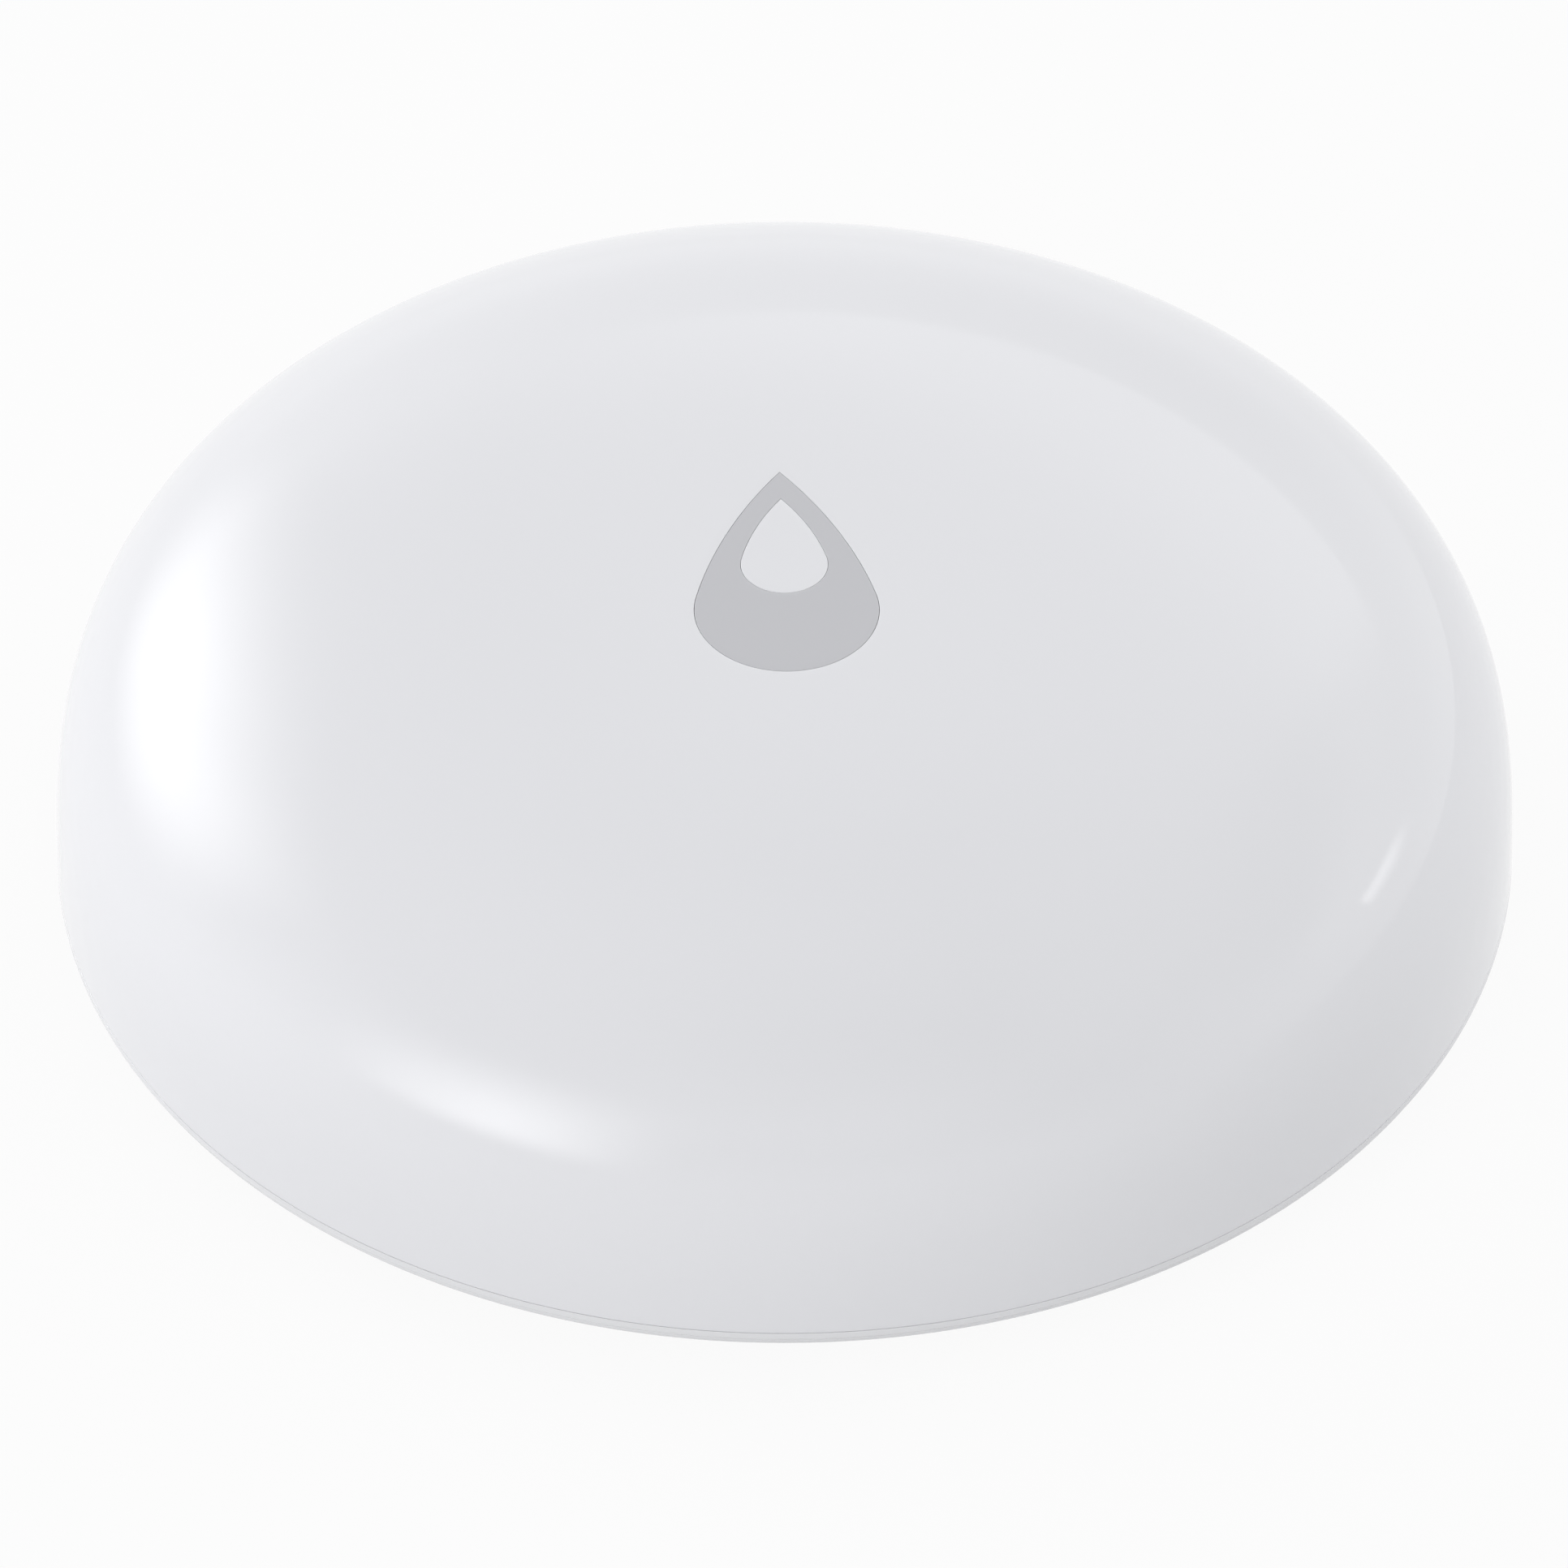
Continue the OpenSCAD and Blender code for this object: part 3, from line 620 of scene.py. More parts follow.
def base_mesh():
    """Base: a turned saucer with an elliptic underside and a ring that stands in the cover, joined to
    foot pads, lugs, the cell's rest and the probes' bosses, and cut by the coin slot, two turn arrows
    and the seats and bores of the probes."""
    sweep = np.linspace(math.pi / 2, 0, CURVE_STEPS)
    run = BODY_R - EDGE_BREAK - UNDER_R
    rise = RIM_Z - EDGE_BREAK - FOOT_H
    underside = [(UNDER_R + run * math.sin(a), FOOT_H + rise * (1 - math.cos(a)), 0) for a in sweep]
    profile = rounded_line([
        (SPIGOT_IN / 2, FLOOR_Z, 0),
        (SPIGOT_IN, FLOOR_Z, EDGE_BREAK),
        (SPIGOT_IN, SPIGOT_TOP, EDGE_BREAK),
        (SPIGOT_R, SPIGOT_TOP, EDGE_BREAK),
        (SPIGOT_R, BASE_TOP, 0),
        (BODY_R, BASE_TOP, LIP),
        (BODY_R, RIM_Z, RIM_EDGE),
        *underside,
        (UNDER_R / 2, FOOT_H, 0),
    ])
    saucer = loft("base_saucer", turned(profile, BASE_COLUMNS), top=[0, 0, FLOOR_Z], bottom=[0, 0, FOOT_H])
    joins = [pad_mesh(place) for place in TURN_THIRDS]
    joins += [
        bar_mesh("lug", place, LUG_ANGLE, LUG_IN, LUG_OUT, LUG_Z, LUG_TOP)
        for place in LUG_PLACES
    ]
    rest = rounded_line([
        (REST_OUT, FLOOR_Z - SINK, 0), (REST_IN, FLOOR_Z - SINK, 0),
        (REST_IN, REST_TOP, EDGE_BREAK), (REST_OUT, REST_TOP, EDGE_BREAK),
    ])
    joins.append(loft("cell_rest", turned(rest, SMALL_COLUMNS), loop=True))
    cuts = [prism("coin_slot", slot_outline(), mouth_levels(FOOT_H + SLOT_H, FOOT_H, SINK, MOUTH))]
    cuts += [arrow_mesh(ARROW_FROM + half_turn) for half_turn in (0, math.pi)]
    for side in (-1, 1):
        boss = ring_outline(BOSS_R, side * PROBE_X)
        seat = ring_outline(SEAT_R, side * PROBE_X)
        bore = ring_outline(BOSS_BORE, side * PROBE_X)
        joins.append(prism("boss", boss, [(BOSS_TOP, 0.0), (FLOOR_Z - SINK, 0.0)]))
        cuts.append(prism("probe_seat", seat, mouth_levels(SEAT_Z, FOOT_H, SINK, MOUTH)))
        cuts.append(prism("probe_bore", bore, [(BOSS_TOP + SINK, 0.0), (FOOT_H - SINK, 0.0)]))
    return carve(saucer, cuts, joins)


def probe_mesh(side):
    """Probe screw: a turned head whose face bulges by a parabola (a quarter of its depth at half the
    radius), with a rounded edge and a cross recess, and the shank up to the spring."""
    profile = rounded_line([
        (SHANK_R / 2, PROBE_TOP, 0),
        (SHANK_R, PROBE_TOP, SHANK_EDGE),
        (SHANK_R, HEAD_TOP, 0),
        (PROBE_R, HEAD_TOP, HEAD_EDGE),
        (PROBE_R, PROBE_LIFT + PROBE_CROWN, PROBE_ROUND),
        (PROBE_R / 2, PROBE_LIFT + PROBE_CROWN / 4, 0),
    ], steps=PROBE_STEPS)
    x = side * PROBE_X
    rings = turned(profile, PROBE_COLUMNS)
    rings[..., 0] += x
    screw = loft("probe", rings, top=[x, 0, PROBE_TOP], bottom=[x, 0, PROBE_LIFT])
    half_l, half_w = CROSS_L / 2, CROSS_W / 2
    cross = np.array([
        (half_l, -half_w), (half_l, half_w), (half_w, half_w), (half_w, half_l), (-half_w, half_l),
        (-half_w, half_w), (-half_l, half_w), (-half_l, -half_w), (-half_w, -half_w), (-half_w, -half_l),
        (half_w, -half_l), (half_w, -half_w),
    ])
    cross[:, 0] += x
    recess = prism("cross_recess", cross, [(PROBE_LIFT + CROSS_H, 0.0), (PROBE_LIFT - CROSS_H, 0.0)])
    return carve(screw, [recess])


# Materials

# Grain of the finishes, in cycles a metre
CLOUD_SCALE = 90.0
RIPPLE_SCALE = 160.0
FINE_GRAIN = 9000.0
SATIN_GRAIN = 7000.0
SMUDGE_SCALE = 500.0
LINE_SCALE = 4000.0
LINE_STRETCH = 0.02
PATCH_SCALE = 260.0
TRACK_SCALE = 520.0

# Heights of the grain
GLOSS_DEPTH = 0.001 * MM
FINE_DEPTH = 0.003 * MM
MATTE_DEPTH = 0.004 * MM
RUBBER_DEPTH = 0.01 * MM
TRACK_DEPTH = 0.02 * MM

# Noise values that count as low and as high
NOISE_LOW = 0.3
NOISE_HIGH = 0.7

# Board: share of patches with tracks along x, share of empty patches, and the edges of a track
TRACKS_ALONG_X = 0.5
EMPTY_PATCHES = 0.35
TRACK_EDGE = (0.55, 0.7)


def add(tree, kind, values=None, **settings):
    """A node with its socket values and settings."""
    node = tree.nodes.new(kind)
    for name, value in settings.items():
        setattr(node, name, value)
    for name, value in (values or {}).items():
        node.inputs[name].default_value = value
    return node


def new_group(name, inputs, outputs):
    """An empty node group with named inputs (name, kind, default) and outputs (name, kind)."""
    group = bpy.data.node_groups.new(name, "ShaderNodeTree")
    for label, kind, default in inputs:
        socket = group.interface.new_socket(label, in_out="INPUT", socket_type="NodeSocket" + kind)
        if default is not None:
            socket.default_value = default
    for label, kind in outputs:
        group.interface.new_socket(label, in_out="OUTPUT", socket_type="NodeSocket" + kind)
    return group, group.nodes.new("NodeGroupInput"), group.nodes.new("NodeGroupOutput")


def moulded_skin():
    """Moulded surface: broad cloudy tone between two colours, a slow ripple with a fine grain for the
    bump, and a roughness that drifts between two values."""
    group, given, out = new_group("moulded_skin", [
        ("Vector", "Vector", None),
        ("Pale", "Color", (0.8, 0.8, 0.8, 1)),
        ("Deep", "Color", (0.78, 0.78, 0.78, 1)),
        ("Ripple Scale", "Float", RIPPLE_SCALE),
        ("Grain Scale", "Float", FINE_GRAIN),
        ("Grain Share", "Float", 0.15),
        ("Rough Low", "Float", 0.08),
        ("Rough High", "Float", 0.14),
    ], [("Color", "Color"), ("Roughness", "Float"), ("Height", "Float")])
    link = group.links.new
    cloud = add(group, "ShaderNodeTexNoise", {"Scale": CLOUD_SCALE, "Detail": 3.0, "Roughness": 0.5})
    ripple = add(group, "ShaderNodeTexNoise", {"Detail": 1.0, "Roughness": 0.4})
    grain = add(group, "ShaderNodeTexNoise", {"Detail": 2.0, "Roughness": 0.6})
    for noise in (cloud, ripple, grain):
        link(given.outputs["Vector"], noise.inputs["Vector"])
    link(given.outputs["Ripple Scale"], ripple.inputs["Scale"])
    link(given.outputs["Grain Scale"], grain.inputs["Scale"])
    tone = add(group, "ShaderNodeMix", data_type="RGBA")
    link(cloud.outputs["Fac"], tone.inputs["Factor"])
    link(given.outputs["Pale"], tone.inputs["A"])
    link(given.outputs["Deep"], tone.inputs["B"])
    height = add(group, "ShaderNodeMix", data_type="FLOAT")
    link(given.outputs["Grain Share"], height.inputs["Factor"])
    link(ripple.outputs["Fac"], height.inputs["A"])
    link(grain.outputs["Fac"], height.inputs["B"])
    rough = add(group, "ShaderNodeMapRange", {"From Min": NOISE_LOW, "From Max": NOISE_HIGH})
    link(cloud.outputs["Fac"], rough.inputs["Value"])
    link(given.outputs["Rough Low"], rough.inputs["To Min"])
    link(given.outputs["Rough High"], rough.inputs["To Max"])
    link(tone.outputs["Result"], out.inputs["Color"])
    link(rough.outputs["Result"], out.inputs["Roughness"])
    link(height.outputs["Result"], out.inputs["Height"])
    return group


def metal_marks():
    """Worked metal: fine lines across one direction of the given vector, which tint the colour, vary
    the roughness and stand as tiny grooves."""
    group, given, out = new_group("metal_marks", [
        ("Vector", "Vector", None),
        ("Bright", "Color", (0.62, 0.61, 0.6, 1)),
        ("Dull", "Color", (0.5, 0.49, 0.48, 1)),
        ("Line Scale", "Float", LINE_SCALE),
        ("Rough Low", "Float", 0.18),
        ("Rough High", "Float", 0.32),
    ], [("Color", "Color"), ("Roughness", "Float"), ("Height", "Float")])
    link = group.links.new
    stretch = add(group, "ShaderNodeMapping", {"Scale": (1.0, LINE_STRETCH, LINE_STRETCH)})
    lines = add(group, "ShaderNodeTexNoise", {"Detail": 3.0, "Roughness": 0.6})
    smudge = add(group, "ShaderNodeTexNoise", {"Scale": SMUDGE_SCALE, "Detail": 2.0})
    link(given.outputs["Vector"], stretch.inputs["Vector"])
    link(stretch.outputs["Vector"], lines.inputs["Vector"])
    link(given.outputs["Vector"], smudge.inputs["Vector"])
    link(given.outputs["Line Scale"], lines.inputs["Scale"])
    tone = add(group, "ShaderNodeMix", data_type="RGBA")
    link(lines.outputs["Fac"], tone.inputs["Factor"])
    link(given.outputs["Bright"], tone.inputs["A"])
    link(given.outputs["Dull"], tone.inputs["B"])
    rough = add(group, "ShaderNodeMapRange", {"From Min": NOISE_LOW, "From Max": NOISE_HIGH})
    link(smudge.outputs["Fac"], rough.inputs["Value"])
    link(given.outputs["Rough Low"], rough.inputs["To Min"])
    link(given.outputs["Rough High"], rough.inputs["To Max"])
    link(tone.outputs["Result"], out.inputs["Color"])
    link(rough.outputs["Result"], out.inputs["Roughness"])
    link(lines.outputs["Fac"], out.inputs["Height"])
    return group


def board_tracks():
    """Circuit board: square patches of parallel tracks, some along x, some along y and some empty. The
    tracks are paler, smoother and stand up a little under the lacquer."""
    group, given, out = new_group("board_tracks", [
        ("Vector", "Vector", None),
        ("Ground", "Color", (0.014, 0.09, 0.035, 1)),
        ("Track", "Color", (0.035, 0.17, 0.065, 1)),
        ("Patch Scale", "Float", PATCH_SCALE),
        ("Track Scale", "Float", TRACK_SCALE),
        ("Rough Low", "Float", 0.25),
        ("Rough High", "Float", 0.38),
    ], [("Color", "Color"), ("Roughness", "Float"), ("Height", "Float")])
    link = group.links.new
    patch = add(group, "ShaderNodeTexVoronoi", {"Randomness": 0.6}, distance="CHEBYCHEV")
    chance = add(group, "ShaderNodeSeparateColor")
    way = add(group, "ShaderNodeMath", {1: TRACKS_ALONG_X}, operation="GREATER_THAN")
    filled = add(group, "ShaderNodeMath", {1: EMPTY_PATCHES}, operation="GREATER_THAN")
    along_x = add(group, "ShaderNodeTexWave", bands_direction="Y")
    along_y = add(group, "ShaderNodeTexWave", bands_direction="X")
    bands = add(group, "ShaderNodeMix", data_type="FLOAT")
    line = add(group, "ShaderNodeMapRange", {"From Min": TRACK_EDGE[0], "From Max": TRACK_EDGE[1]})
    track = add(group, "ShaderNodeMath", operation="MULTIPLY")
    for texture in (patch, along_x, along_y):
        link(given.outputs["Vector"], texture.inputs["Vector"])
    link(given.outputs["Patch Scale"], patch.inputs["Scale"])
    for wave in (along_x, along_y):
        link(given.outputs["Track Scale"], wave.inputs["Scale"])
    link(patch.outputs["Color"], chance.inputs["Color"])
    link(chance.outputs["Red"], way.inputs[0])
    link(chance.outputs["Green"], filled.inputs[0])
    link(way.outputs[0], bands.inputs["Factor"])
    link(along_x.outputs["Fac"], bands.inputs["A"])
    link(along_y.outputs["Fac"], bands.inputs["B"])
    link(bands.outputs["Result"], line.inputs["Value"])
    link(line.outputs["Result"], track.inputs[0])
    link(filled.outputs[0], track.inputs[1])
    tone = add(group, "ShaderNodeMix", data_type="RGBA")
    link(track.outputs[0], tone.inputs["Factor"])
    link(given.outputs["Ground"], tone.inputs["A"])
    link(given.outputs["Track"], tone.inputs["B"])
    rough = add(group, "ShaderNodeMapRange")
    link(track.outputs[0], rough.inputs["Value"])
    link(given.outputs["Rough High"], rough.inputs["To Min"])
    link(given.outputs["Rough Low"], rough.inputs["To Max"])
    link(tone.outputs["Result"], out.inputs["Color"])
    link(rough.outputs["Result"], out.inputs["Roughness"])
    link(track.outputs[0], out.inputs["Height"])
    return group


MOULDED = moulded_skin()
MARKED = metal_marks()
TRACKED = board_tracks()


def dressed(name, group, values, depth, coordinates="Object", **shader_values):
    """A material whose colour, roughness and bump come from a group placed with its own values. depth
    is the full height of the bump in metres, and shader_values are set on the shader itself."""
    material = bpy.data.materials.new(name)
    material.use_nodes = True
    tree = material.node_tree
    shader = tree.nodes["Principled BSDF"]
    for label, value in shader_values.items():
        shader.inputs[label.replace("_", " ")].default_value = value
    place = add(tree, "ShaderNodeTexCoord")
    skin = add(tree, "ShaderNodeGroup", node_tree=group)
    for label, value in values.items():
        skin.inputs[label].default_value = value
    bump = add(tree, "ShaderNodeBump", {"Strength": 1.0, "Distance": depth})
    tree.links.new(place.outputs[coordinates], skin.inputs["Vector"])
    tree.links.new(skin.outputs["Color"], shader.inputs["Base Color"])
    tree.links.new(skin.outputs["Roughness"], shader.inputs["Roughness"])
    tree.links.new(skin.outputs["Height"], bump.inputs["Height"])
    tree.links.new(bump.outputs["Normal"], shader.inputs["Normal"])
    return material


def plastic(name, pale, deep, rough, depth=GLOSS_DEPTH, grain=FINE_GRAIN, share=0.15, **shader_values):
    """A moulded finish between two colours and two roughnesses. share is the fine grain's part."""
    values = {
        "Pale": (*pale, 1), "Deep": (*deep, 1), "Rough Low": rough[0], "Rough High": rough[1],
        "Grain Scale": grain, "Grain Share": share,
    }
    return dressed(name, MOULDED, values, depth, **shader_values)


def metal(name, bright, dull, rough):
    """A worked metal between two colours and two roughnesses."""
    values = {"Bright": (*bright, 1), "Dull": (*dull, 1), "Rough Low": rough[0], "Rough High": rough[1]}
    return dressed(name, MARKED, values, GLOSS_DEPTH, Metallic=1.0)


gloss_white = plastic(
    "gloss_white", (0.80, 0.805, 0.834), (0.79, 0.795, 0.824), (0.03, 0.05), share=0.03)
key_grey = plastic("key_grey", (0.57, 0.573, 0.60), (0.56, 0.563, 0.59), (0.08, 0.13))
base_white = plastic(
    "base_white", (0.79, 0.795, 0.815), (0.77, 0.775, 0.795), (0.16, 0.26), grain=SATIN_GRAIN, share=0.4)
silicone = plastic("silicone", (0.6, 0.6, 0.59), (0.55, 0.55, 0.54), (0.4, 0.55), depth=MATTE_DEPTH)
black_plastic = plastic(
    "black_plastic", (0.025, 0.025, 0.027), (0.018, 0.018, 0.02), (0.35, 0.5), depth=MATTE_DEPTH)
plunger_brown = plastic(
    "plunger_brown", (0.16, 0.075, 0.035), (0.13, 0.06, 0.03), (0.3, 0.42), depth=FINE_DEPTH)
board_green = dressed("board_green", TRACKED, {}, TRACK_DEPTH)
ceramic = plastic("ceramic", (0.42, 0.33, 0.22), (0.36, 0.28, 0.18), (0.35, 0.5), depth=FINE_DEPTH)
led_lens = plastic(
    "led_lens", (0.85, 0.8, 0.55), (0.8, 0.75, 0.5), (0.15, 0.25), Transmission_Weight=0.3)
black_rubber = plastic(
    "black_rubber", (0.03, 0.03, 0.03), (0.02, 0.02, 0.02), (0.55, 0.75), depth=RUBBER_DEPTH, share=0.5)
steel = metal("steel", (0.66, 0.65, 0.63), (0.54, 0.53, 0.51), (0.16, 0.3))
gold_contact = metal("gold_contact", (0.83, 0.62, 0.28), (0.72, 0.52, 0.22), (0.18, 0.3))
copper_trace = metal("copper_trace", (0.8, 0.5, 0.3), (0.68, 0.4, 0.23), (0.25, 0.4))

FINISHES = {
    "membrane_clamp": black_plastic, "circuit_board": board_green,
    "switch_body": black_plastic, "switch_plunger": plunger_brown,
    "switch_frame": steel, "status_led": led_lens, "radio_chip": black_plastic, "clock_crystal": steel,
    "trace_antenna": copper_trace, "chip_parts": ceramic, "board_screws": steel,
    "cell_holder": black_plastic, "cell_clip_positive": gold_contact,
    "cell_contact_negative": gold_contact, "cell_can": steel, "cell_gasket": black_rubber,
    "cell_cap": steel, "probe_spring_left": gold_contact, "probe_spring_right": gold_contact,
    "seal_ring": black_rubber, "probe_seals": black_rubber, "probe_nuts": steel,
}
for node, material in FINISHES.items():
    for material_slot in frame["nodes"][node].material_slots:
        material_slot.material = material


# Assembly

def build():
    """All shown pieces, each with its body and finish and the nodes that it stands for."""
    cover = show("cover_shell", cover_mesh(), "cover", "cover_white", "top_cover")
    cover.data.materials.append(gloss_white)
    for number, place in enumerate(TURN_THIRDS, 1):
        post = show(f"cover_post_{number}", post_mesh(place), "cover", "cover_white")
        post.data.materials.append(gloss_white)
    for number, place in enumerate(LUG_PLACES, 1):
        low = LAND_TOP - LEDGE_LAP
        stop_at = place + STOP_FROM + STOP_ANGLE / 2
        ledge = bar_mesh("ledge", place, LEDGE_ANGLE, LEDGE_IN, LEDGE_OUT, low, LEDGE_TOP)
        stop = bar_mesh("stop", stop_at, STOP_ANGLE, LEDGE_IN, LEDGE_OUT, low, LUG_TOP)
        for name, mesh in (("ledge", ledge), ("stop", stop)):
            piece = show(f"cover_{name}_{number}", mesh, "cover", "cover_white")
            piece.data.materials.append(gloss_white)
    key = show("drop_key_face", key_mesh(), "key", "key_grey", "drop_key")
    key.data.materials.append(key_grey)
    inlay = show("inlay_face", inlay_mesh(), "key", "cover_white", "key_inlay")
    inlay.data.materials.append(gloss_white)
    sheet = show("membrane_sheet", sheet_mesh(), "cover", "silicone", "key_membrane")
    sheet.data.materials.append(silicone)
    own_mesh(sheet)
    nib = show("membrane_nib", nib_mesh(), "key", "silicone")
    nib.data.materials.append(silicone)
    snap = show("snap_dome", snap_mesh(), "cover", "steel", "switch_dome")
    snap.data.materials.append(steel)
    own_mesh(snap)
    base = show("base_saucer", base_mesh(), "base", "base_white", "base_shell")
    base.data.materials.clear()
    base.data.materials.append(base_white)
    for name, side in (("left", -1), ("right", 1)):
        probe = show(f"probe_{name}", probe_mesh(side), "base", "steel", f"probe_screw_{name}")
        probe.data.materials.clear()
        probe.data.materials.append(steel)


# Stage: floor, world, lamps and camera

FLOOR_HALF = 2.0
FLOOR_WHITE = 0.68
FLOOR_GLOW = 0.93
LAMP_REACH = 0.8
ROOM_HORIZON = 1.22
ROOM_ZENITH = 0.0

# Bright strip of the room behind the object, in degrees: its lower edge draws the arc on the crown.
# Each pair holds where the strip is dark and where it is fully lit.
STRIP_TURN = 163.0
STRIP_LEFT = (-25.5, -12.5)
STRIP_RIGHT = (25.5, 13.5)
STRIP_LOW = (24.8, 25.4)
STRIP_HIGH = (58.0, 20.0)
STRIP_LIGHT = 0.66


def floor():
    """Pale floor: a plain diffuse sheet that the camera and reflections see mostly as even white, with
    the object's shadow kept in the rest, and that can be seen through from below."""
    x, y = np.meshgrid([-FLOOR_HALF, FLOOR_HALF], [-FLOOR_HALF, FLOOR_HALF])
    points = np.stack([x.ravel(), y.ravel(), np.zeros(4)], axis=-1)
    mesh = fill_mesh("floor", points, np.array([[0, 1, 3, 2]]), [])
    material = bpy.data.materials.new("pale_floor")
    material.use_nodes = True
    tree = material.node_tree
    tree.nodes.clear()
    link = tree.links.new
    out = add(tree, "ShaderNodeOutputMaterial")
    matte = add(tree, "ShaderNodeBsdfDiffuse", {"Color": (FLOOR_WHITE, FLOOR_WHITE, FLOOR_WHITE, 1)})
    glow = add(tree, "ShaderNodeEmission", {"Color": (1, 1, 1, 1), "Strength": 1.0})
    clear = add(tree, "ShaderNodeBsdfTransparent")
    path = add(tree, "ShaderNodeLightPath")
    geometry = add(tree, "ShaderNodeNewGeometry")
    seen = add(tree, "ShaderNodeMath", operation="MAXIMUM")
    mirrored = add(tree, "ShaderNodeMath", operation="MAXIMUM")
    share = add(tree, "ShaderNodeMath", {1: FLOOR_GLOW}, operation="MULTIPLY")
    top = add(tree, "ShaderNodeMixShader")
    both = add(tree, "ShaderNodeMixShader")
    link(path.outputs["Is Glossy Ray"], mirrored.inputs[0])
    link(path.outputs["Is Transmission Ray"], mirrored.inputs[1])
    link(path.outputs["Is Camera Ray"], seen.inputs[0])
    link(mirrored.outputs[0], seen.inputs[1])
    link(seen.outputs[0], share.inputs[0])
    link(share.outputs[0], top.inputs["Fac"])
    link(matte.outputs[0], top.inputs[1])
    link(glow.outputs[0], top.inputs[2])
    link(geometry.outputs["Backfacing"], both.inputs["Fac"])
    link(top.outputs[0], both.inputs[1])
    link(clear.outputs[0], both.inputs[2])
    link(both.outputs[0], out.inputs["Surface"])
    mesh.materials.append(material)
    sheet = bpy.data.objects.new("floor", mesh)
    bpy.context.scene.collection.objects.link(sheet)


def soft_edges(tree, sides):
    """Product of smooth steps. Each side gives a socket and its values where the step is 0 and 1."""
    level = None
    for socket, dark, lit in sides:
        values = {"From Min": dark, "From Max": lit, "To Min": 0.0, "To Max": 1.0}
        edge = add(tree, "ShaderNodeMapRange", values, interpolation_type="SMOOTHSTEP")
        tree.links.new(socket, edge.inputs["Value"])
        if level is None:
            level = edge.outputs["Result"]
            continue
        product = add(tree, "ShaderNodeMath", operation="MULTIPLY")
        tree.links.new(level, product.inputs[0])
        tree.links.new(edge.outputs["Result"], product.inputs[1])
        level = product.outputs[0]
    return level


def facing(turn):
    """Level directions towards a turn, measured from the camera's side to the right, and across it."""
    a = math.radians(turn) + CAMERA_TURN
    return Vector((math.sin(a), -math.cos(a), 0)), Vector((math.cos(a), math.sin(a), 0))


def world():
    """Soft room light that fades from the horizon to the zenith, with a brighter strip behind the
    object. The camera sees plain white."""
    room = bpy.data.worlds.new("room")
    bpy.context.scene.world = room
    room.use_nodes = True
    tree = room.node_tree
    tree.nodes.clear()
    link = tree.links.new
    out = add(tree, "ShaderNodeOutputWorld")
    place = add(tree, "ShaderNodeTexCoord")
    axes = add(tree, "ShaderNodeSeparateXYZ")
    ends = {"From Min": 0.0, "From Max": 1.0, "To Min": ROOM_HORIZON, "To Max": ROOM_ZENITH}
    level = add(tree, "ShaderNodeMapRange", ends)
    towards, across = facing(STRIP_TURN)
    ahead = add(tree, "ShaderNodeVectorMath", {1: towards}, operation="DOT_PRODUCT")
    beside = add(tree, "ShaderNodeVectorMath", {1: across}, operation="DOT_PRODUCT")
    turn = add(tree, "ShaderNodeMath", operation="ARCTAN2")
    total = add(tree, "ShaderNodeMath", {1: STRIP_LIGHT}, operation="MULTIPLY_ADD")
    light = add(tree, "ShaderNodeBackground")
    white = add(tree, "ShaderNodeBackground", {"Color": (1, 1, 1, 1), "Strength": 1.0})
    path = add(tree, "ShaderNodeLightPath")
    mix = add(tree, "ShaderNodeMixShader")
    link(place.outputs["Generated"], axes.inputs["Vector"])
    link(axes.outputs["Z"], level.inputs["Value"])
    for dot in (ahead, beside):
        link(place.outputs["Generated"], dot.inputs[0])
    link(beside.outputs["Value"], turn.inputs[0])
    link(ahead.outputs["Value"], turn.inputs[1])
    strip = soft_edges(tree, [
        *[(turn.outputs[0], *np.radians(side)) for side in (STRIP_LEFT, STRIP_RIGHT)],
        *[(axes.outputs["Z"], *np.sin(np.radians(side))) for side in (STRIP_LOW, STRIP_HIGH)],
    ])
    link(strip, total.inputs[0])
    link(level.outputs["Result"], total.inputs[2])
    link(total.outputs[0], light.inputs["Strength"])
    link(path.outputs["Is Camera Ray"], mix.inputs["Fac"])
    link(light.outputs[0], mix.inputs[1])
    link(white.outputs[0], mix.inputs[2])
    link(mix.outputs[0], out.inputs["Surface"])


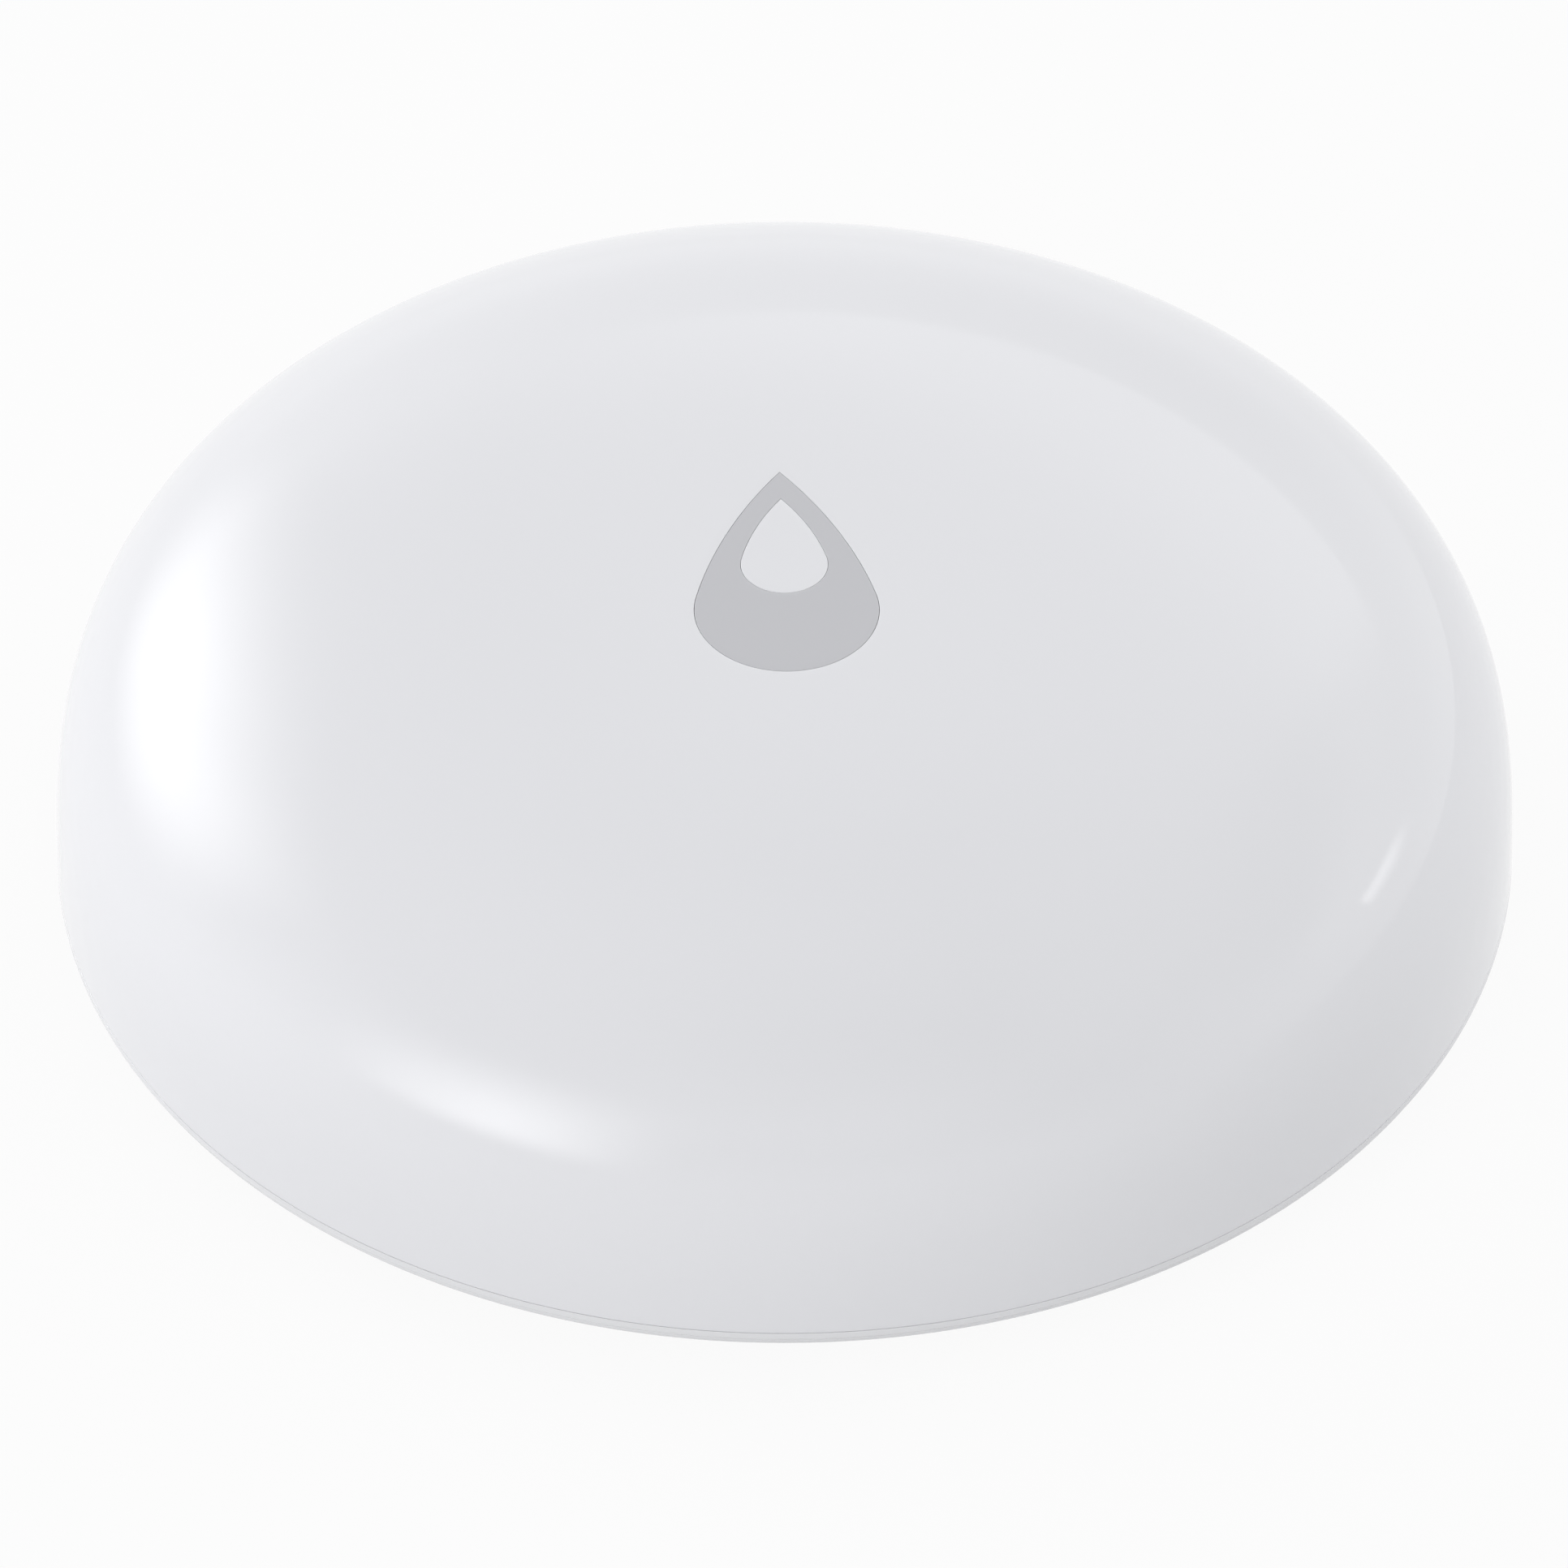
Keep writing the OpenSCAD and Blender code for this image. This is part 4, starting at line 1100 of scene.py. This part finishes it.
def softbox(name, turn, rise, reach, fade, radiance):
    """Soft lamp on a sphere round the object. turn is measured from the camera's side to the right and
    rise from the floor, in degrees. reach and fade hold tangents for the left, right, lower and upper
    side: how far the middle of the side's soft edge lies from the lamp's axis, and how wide the edge
    is. The light drops smoothly to nothing over each edge."""
    level, across = facing(turn)
    up_axis = Vector((0, 0, 1))
    c, s = math.cos(math.radians(rise)), math.sin(math.radians(rise))
    towards = level * c + up_axis * s
    upward = up_axis * c - level * s
    left, right, down, up = [side + soft / 2 for side, soft in zip(reach, fade)]
    wide, high = left + right, down + up
    light = bpy.data.lights.new(name, "AREA")
    light.shape = "RECTANGLE"
    light.size = wide * LAMP_REACH
    light.size_y = high * LAMP_REACH
    light.energy = radiance * math.pi * light.size * light.size_y
    light.use_nodes = True
    tree = light.node_tree
    emission = tree.nodes["Emission"]
    place = add(tree, "ShaderNodeNewGeometry")
    axes = add(tree, "ShaderNodeSeparateXYZ")
    tree.links.new(place.outputs["Parametric"], axes.inputs["Vector"])
    x, y = axes.outputs["X"], axes.outputs["Y"]
    shape = soft_edges(tree, [
        (x, 0, fade[0] / wide), (x, 1, 1 - fade[1] / wide),
        (y, 0, fade[2] / high), (y, 1, 1 - fade[3] / high),
    ])
    tree.links.new(shape, emission.inputs["Strength"])
    lamp = bpy.data.objects.new(name, light)
    lamp.location = LAMP_REACH * (towards + across * (right - left) / 2 + upward * (up - down) / 2)
    lamp.rotation_mode = "QUATERNION"
    lamp.rotation_quaternion = (-towards).to_track_quat("-Z", "Y")
    lamp.visible_camera = False
    bpy.context.scene.collection.objects.link(lamp)


def camera():
    """The photograph's view: a long lens aimed at the middle of the object."""
    data = bpy.data.cameras.new("camera")
    data.sensor_width = SENSOR
    data.lens = LENS
    data.clip_start = CLIP_NEAR
    data.clip_end = CLIP_FAR
    eye = bpy.data.objects.new("camera", data)
    back = Vector((
        math.sin(CAMERA_TURN) * math.cos(CAMERA_RISE),
        -math.cos(CAMERA_TURN) * math.cos(CAMERA_RISE),
        math.sin(CAMERA_RISE),
    ))
    eye.location = AIM + back * CAMERA_REACH
    eye.rotation_mode = "QUATERNION"
    eye.rotation_quaternion = (-back).to_track_quat("-Z", "Y")
    bpy.context.scene.collection.objects.link(eye)
    bpy.context.scene.camera = eye


build()
floor()
world()
softbox("left_window", -120.5, 16, (0.52, 0.205, 0.08, 0.48), (0.51, 0.56, 0.52, 0.58), 3.6)
softbox("front_left_window", -42.5, 21.4, (0.235, 0.235, 0.31, 0.18), (0.72, 0.59, 0.26, 0.59), 4.1)
softbox("right_panel", 108, 27, (0.80, 0.92, 0.53, 0.83), (1.06, 0.98, 0.93, 0.73), 0.62)
softbox("right_strip", 99.5, 15, (0.01, 0.18, 0.01, 0.043), (0.02, 0.166, 0.13, 0.078), 2.8)
softbox("overhead", -2, 68, (0.56, 0.60, 0.94, 0.92), (0.81, 0.92, 1.05, 1.20), 0.54)
softbox("back_wall", 147, 22.5, (1.40, 1.88, 0.02, 0.33), (0.60, 0.57, 0.73, 0.30), 0.36)
softbox("back_high", 146, 52, (0.70, 0.60, 0.40, 0.45), (0.60, 0.80, 0.50, 0.80), 0.18)
softbox("back_low", 160, 6, (1.20, 1.00, 0.15, 0.12), (0.50, 0.50, 0.20, 0.20), 0.10)
camera()
bpy.context.scene.view_settings.view_transform = "Standard"
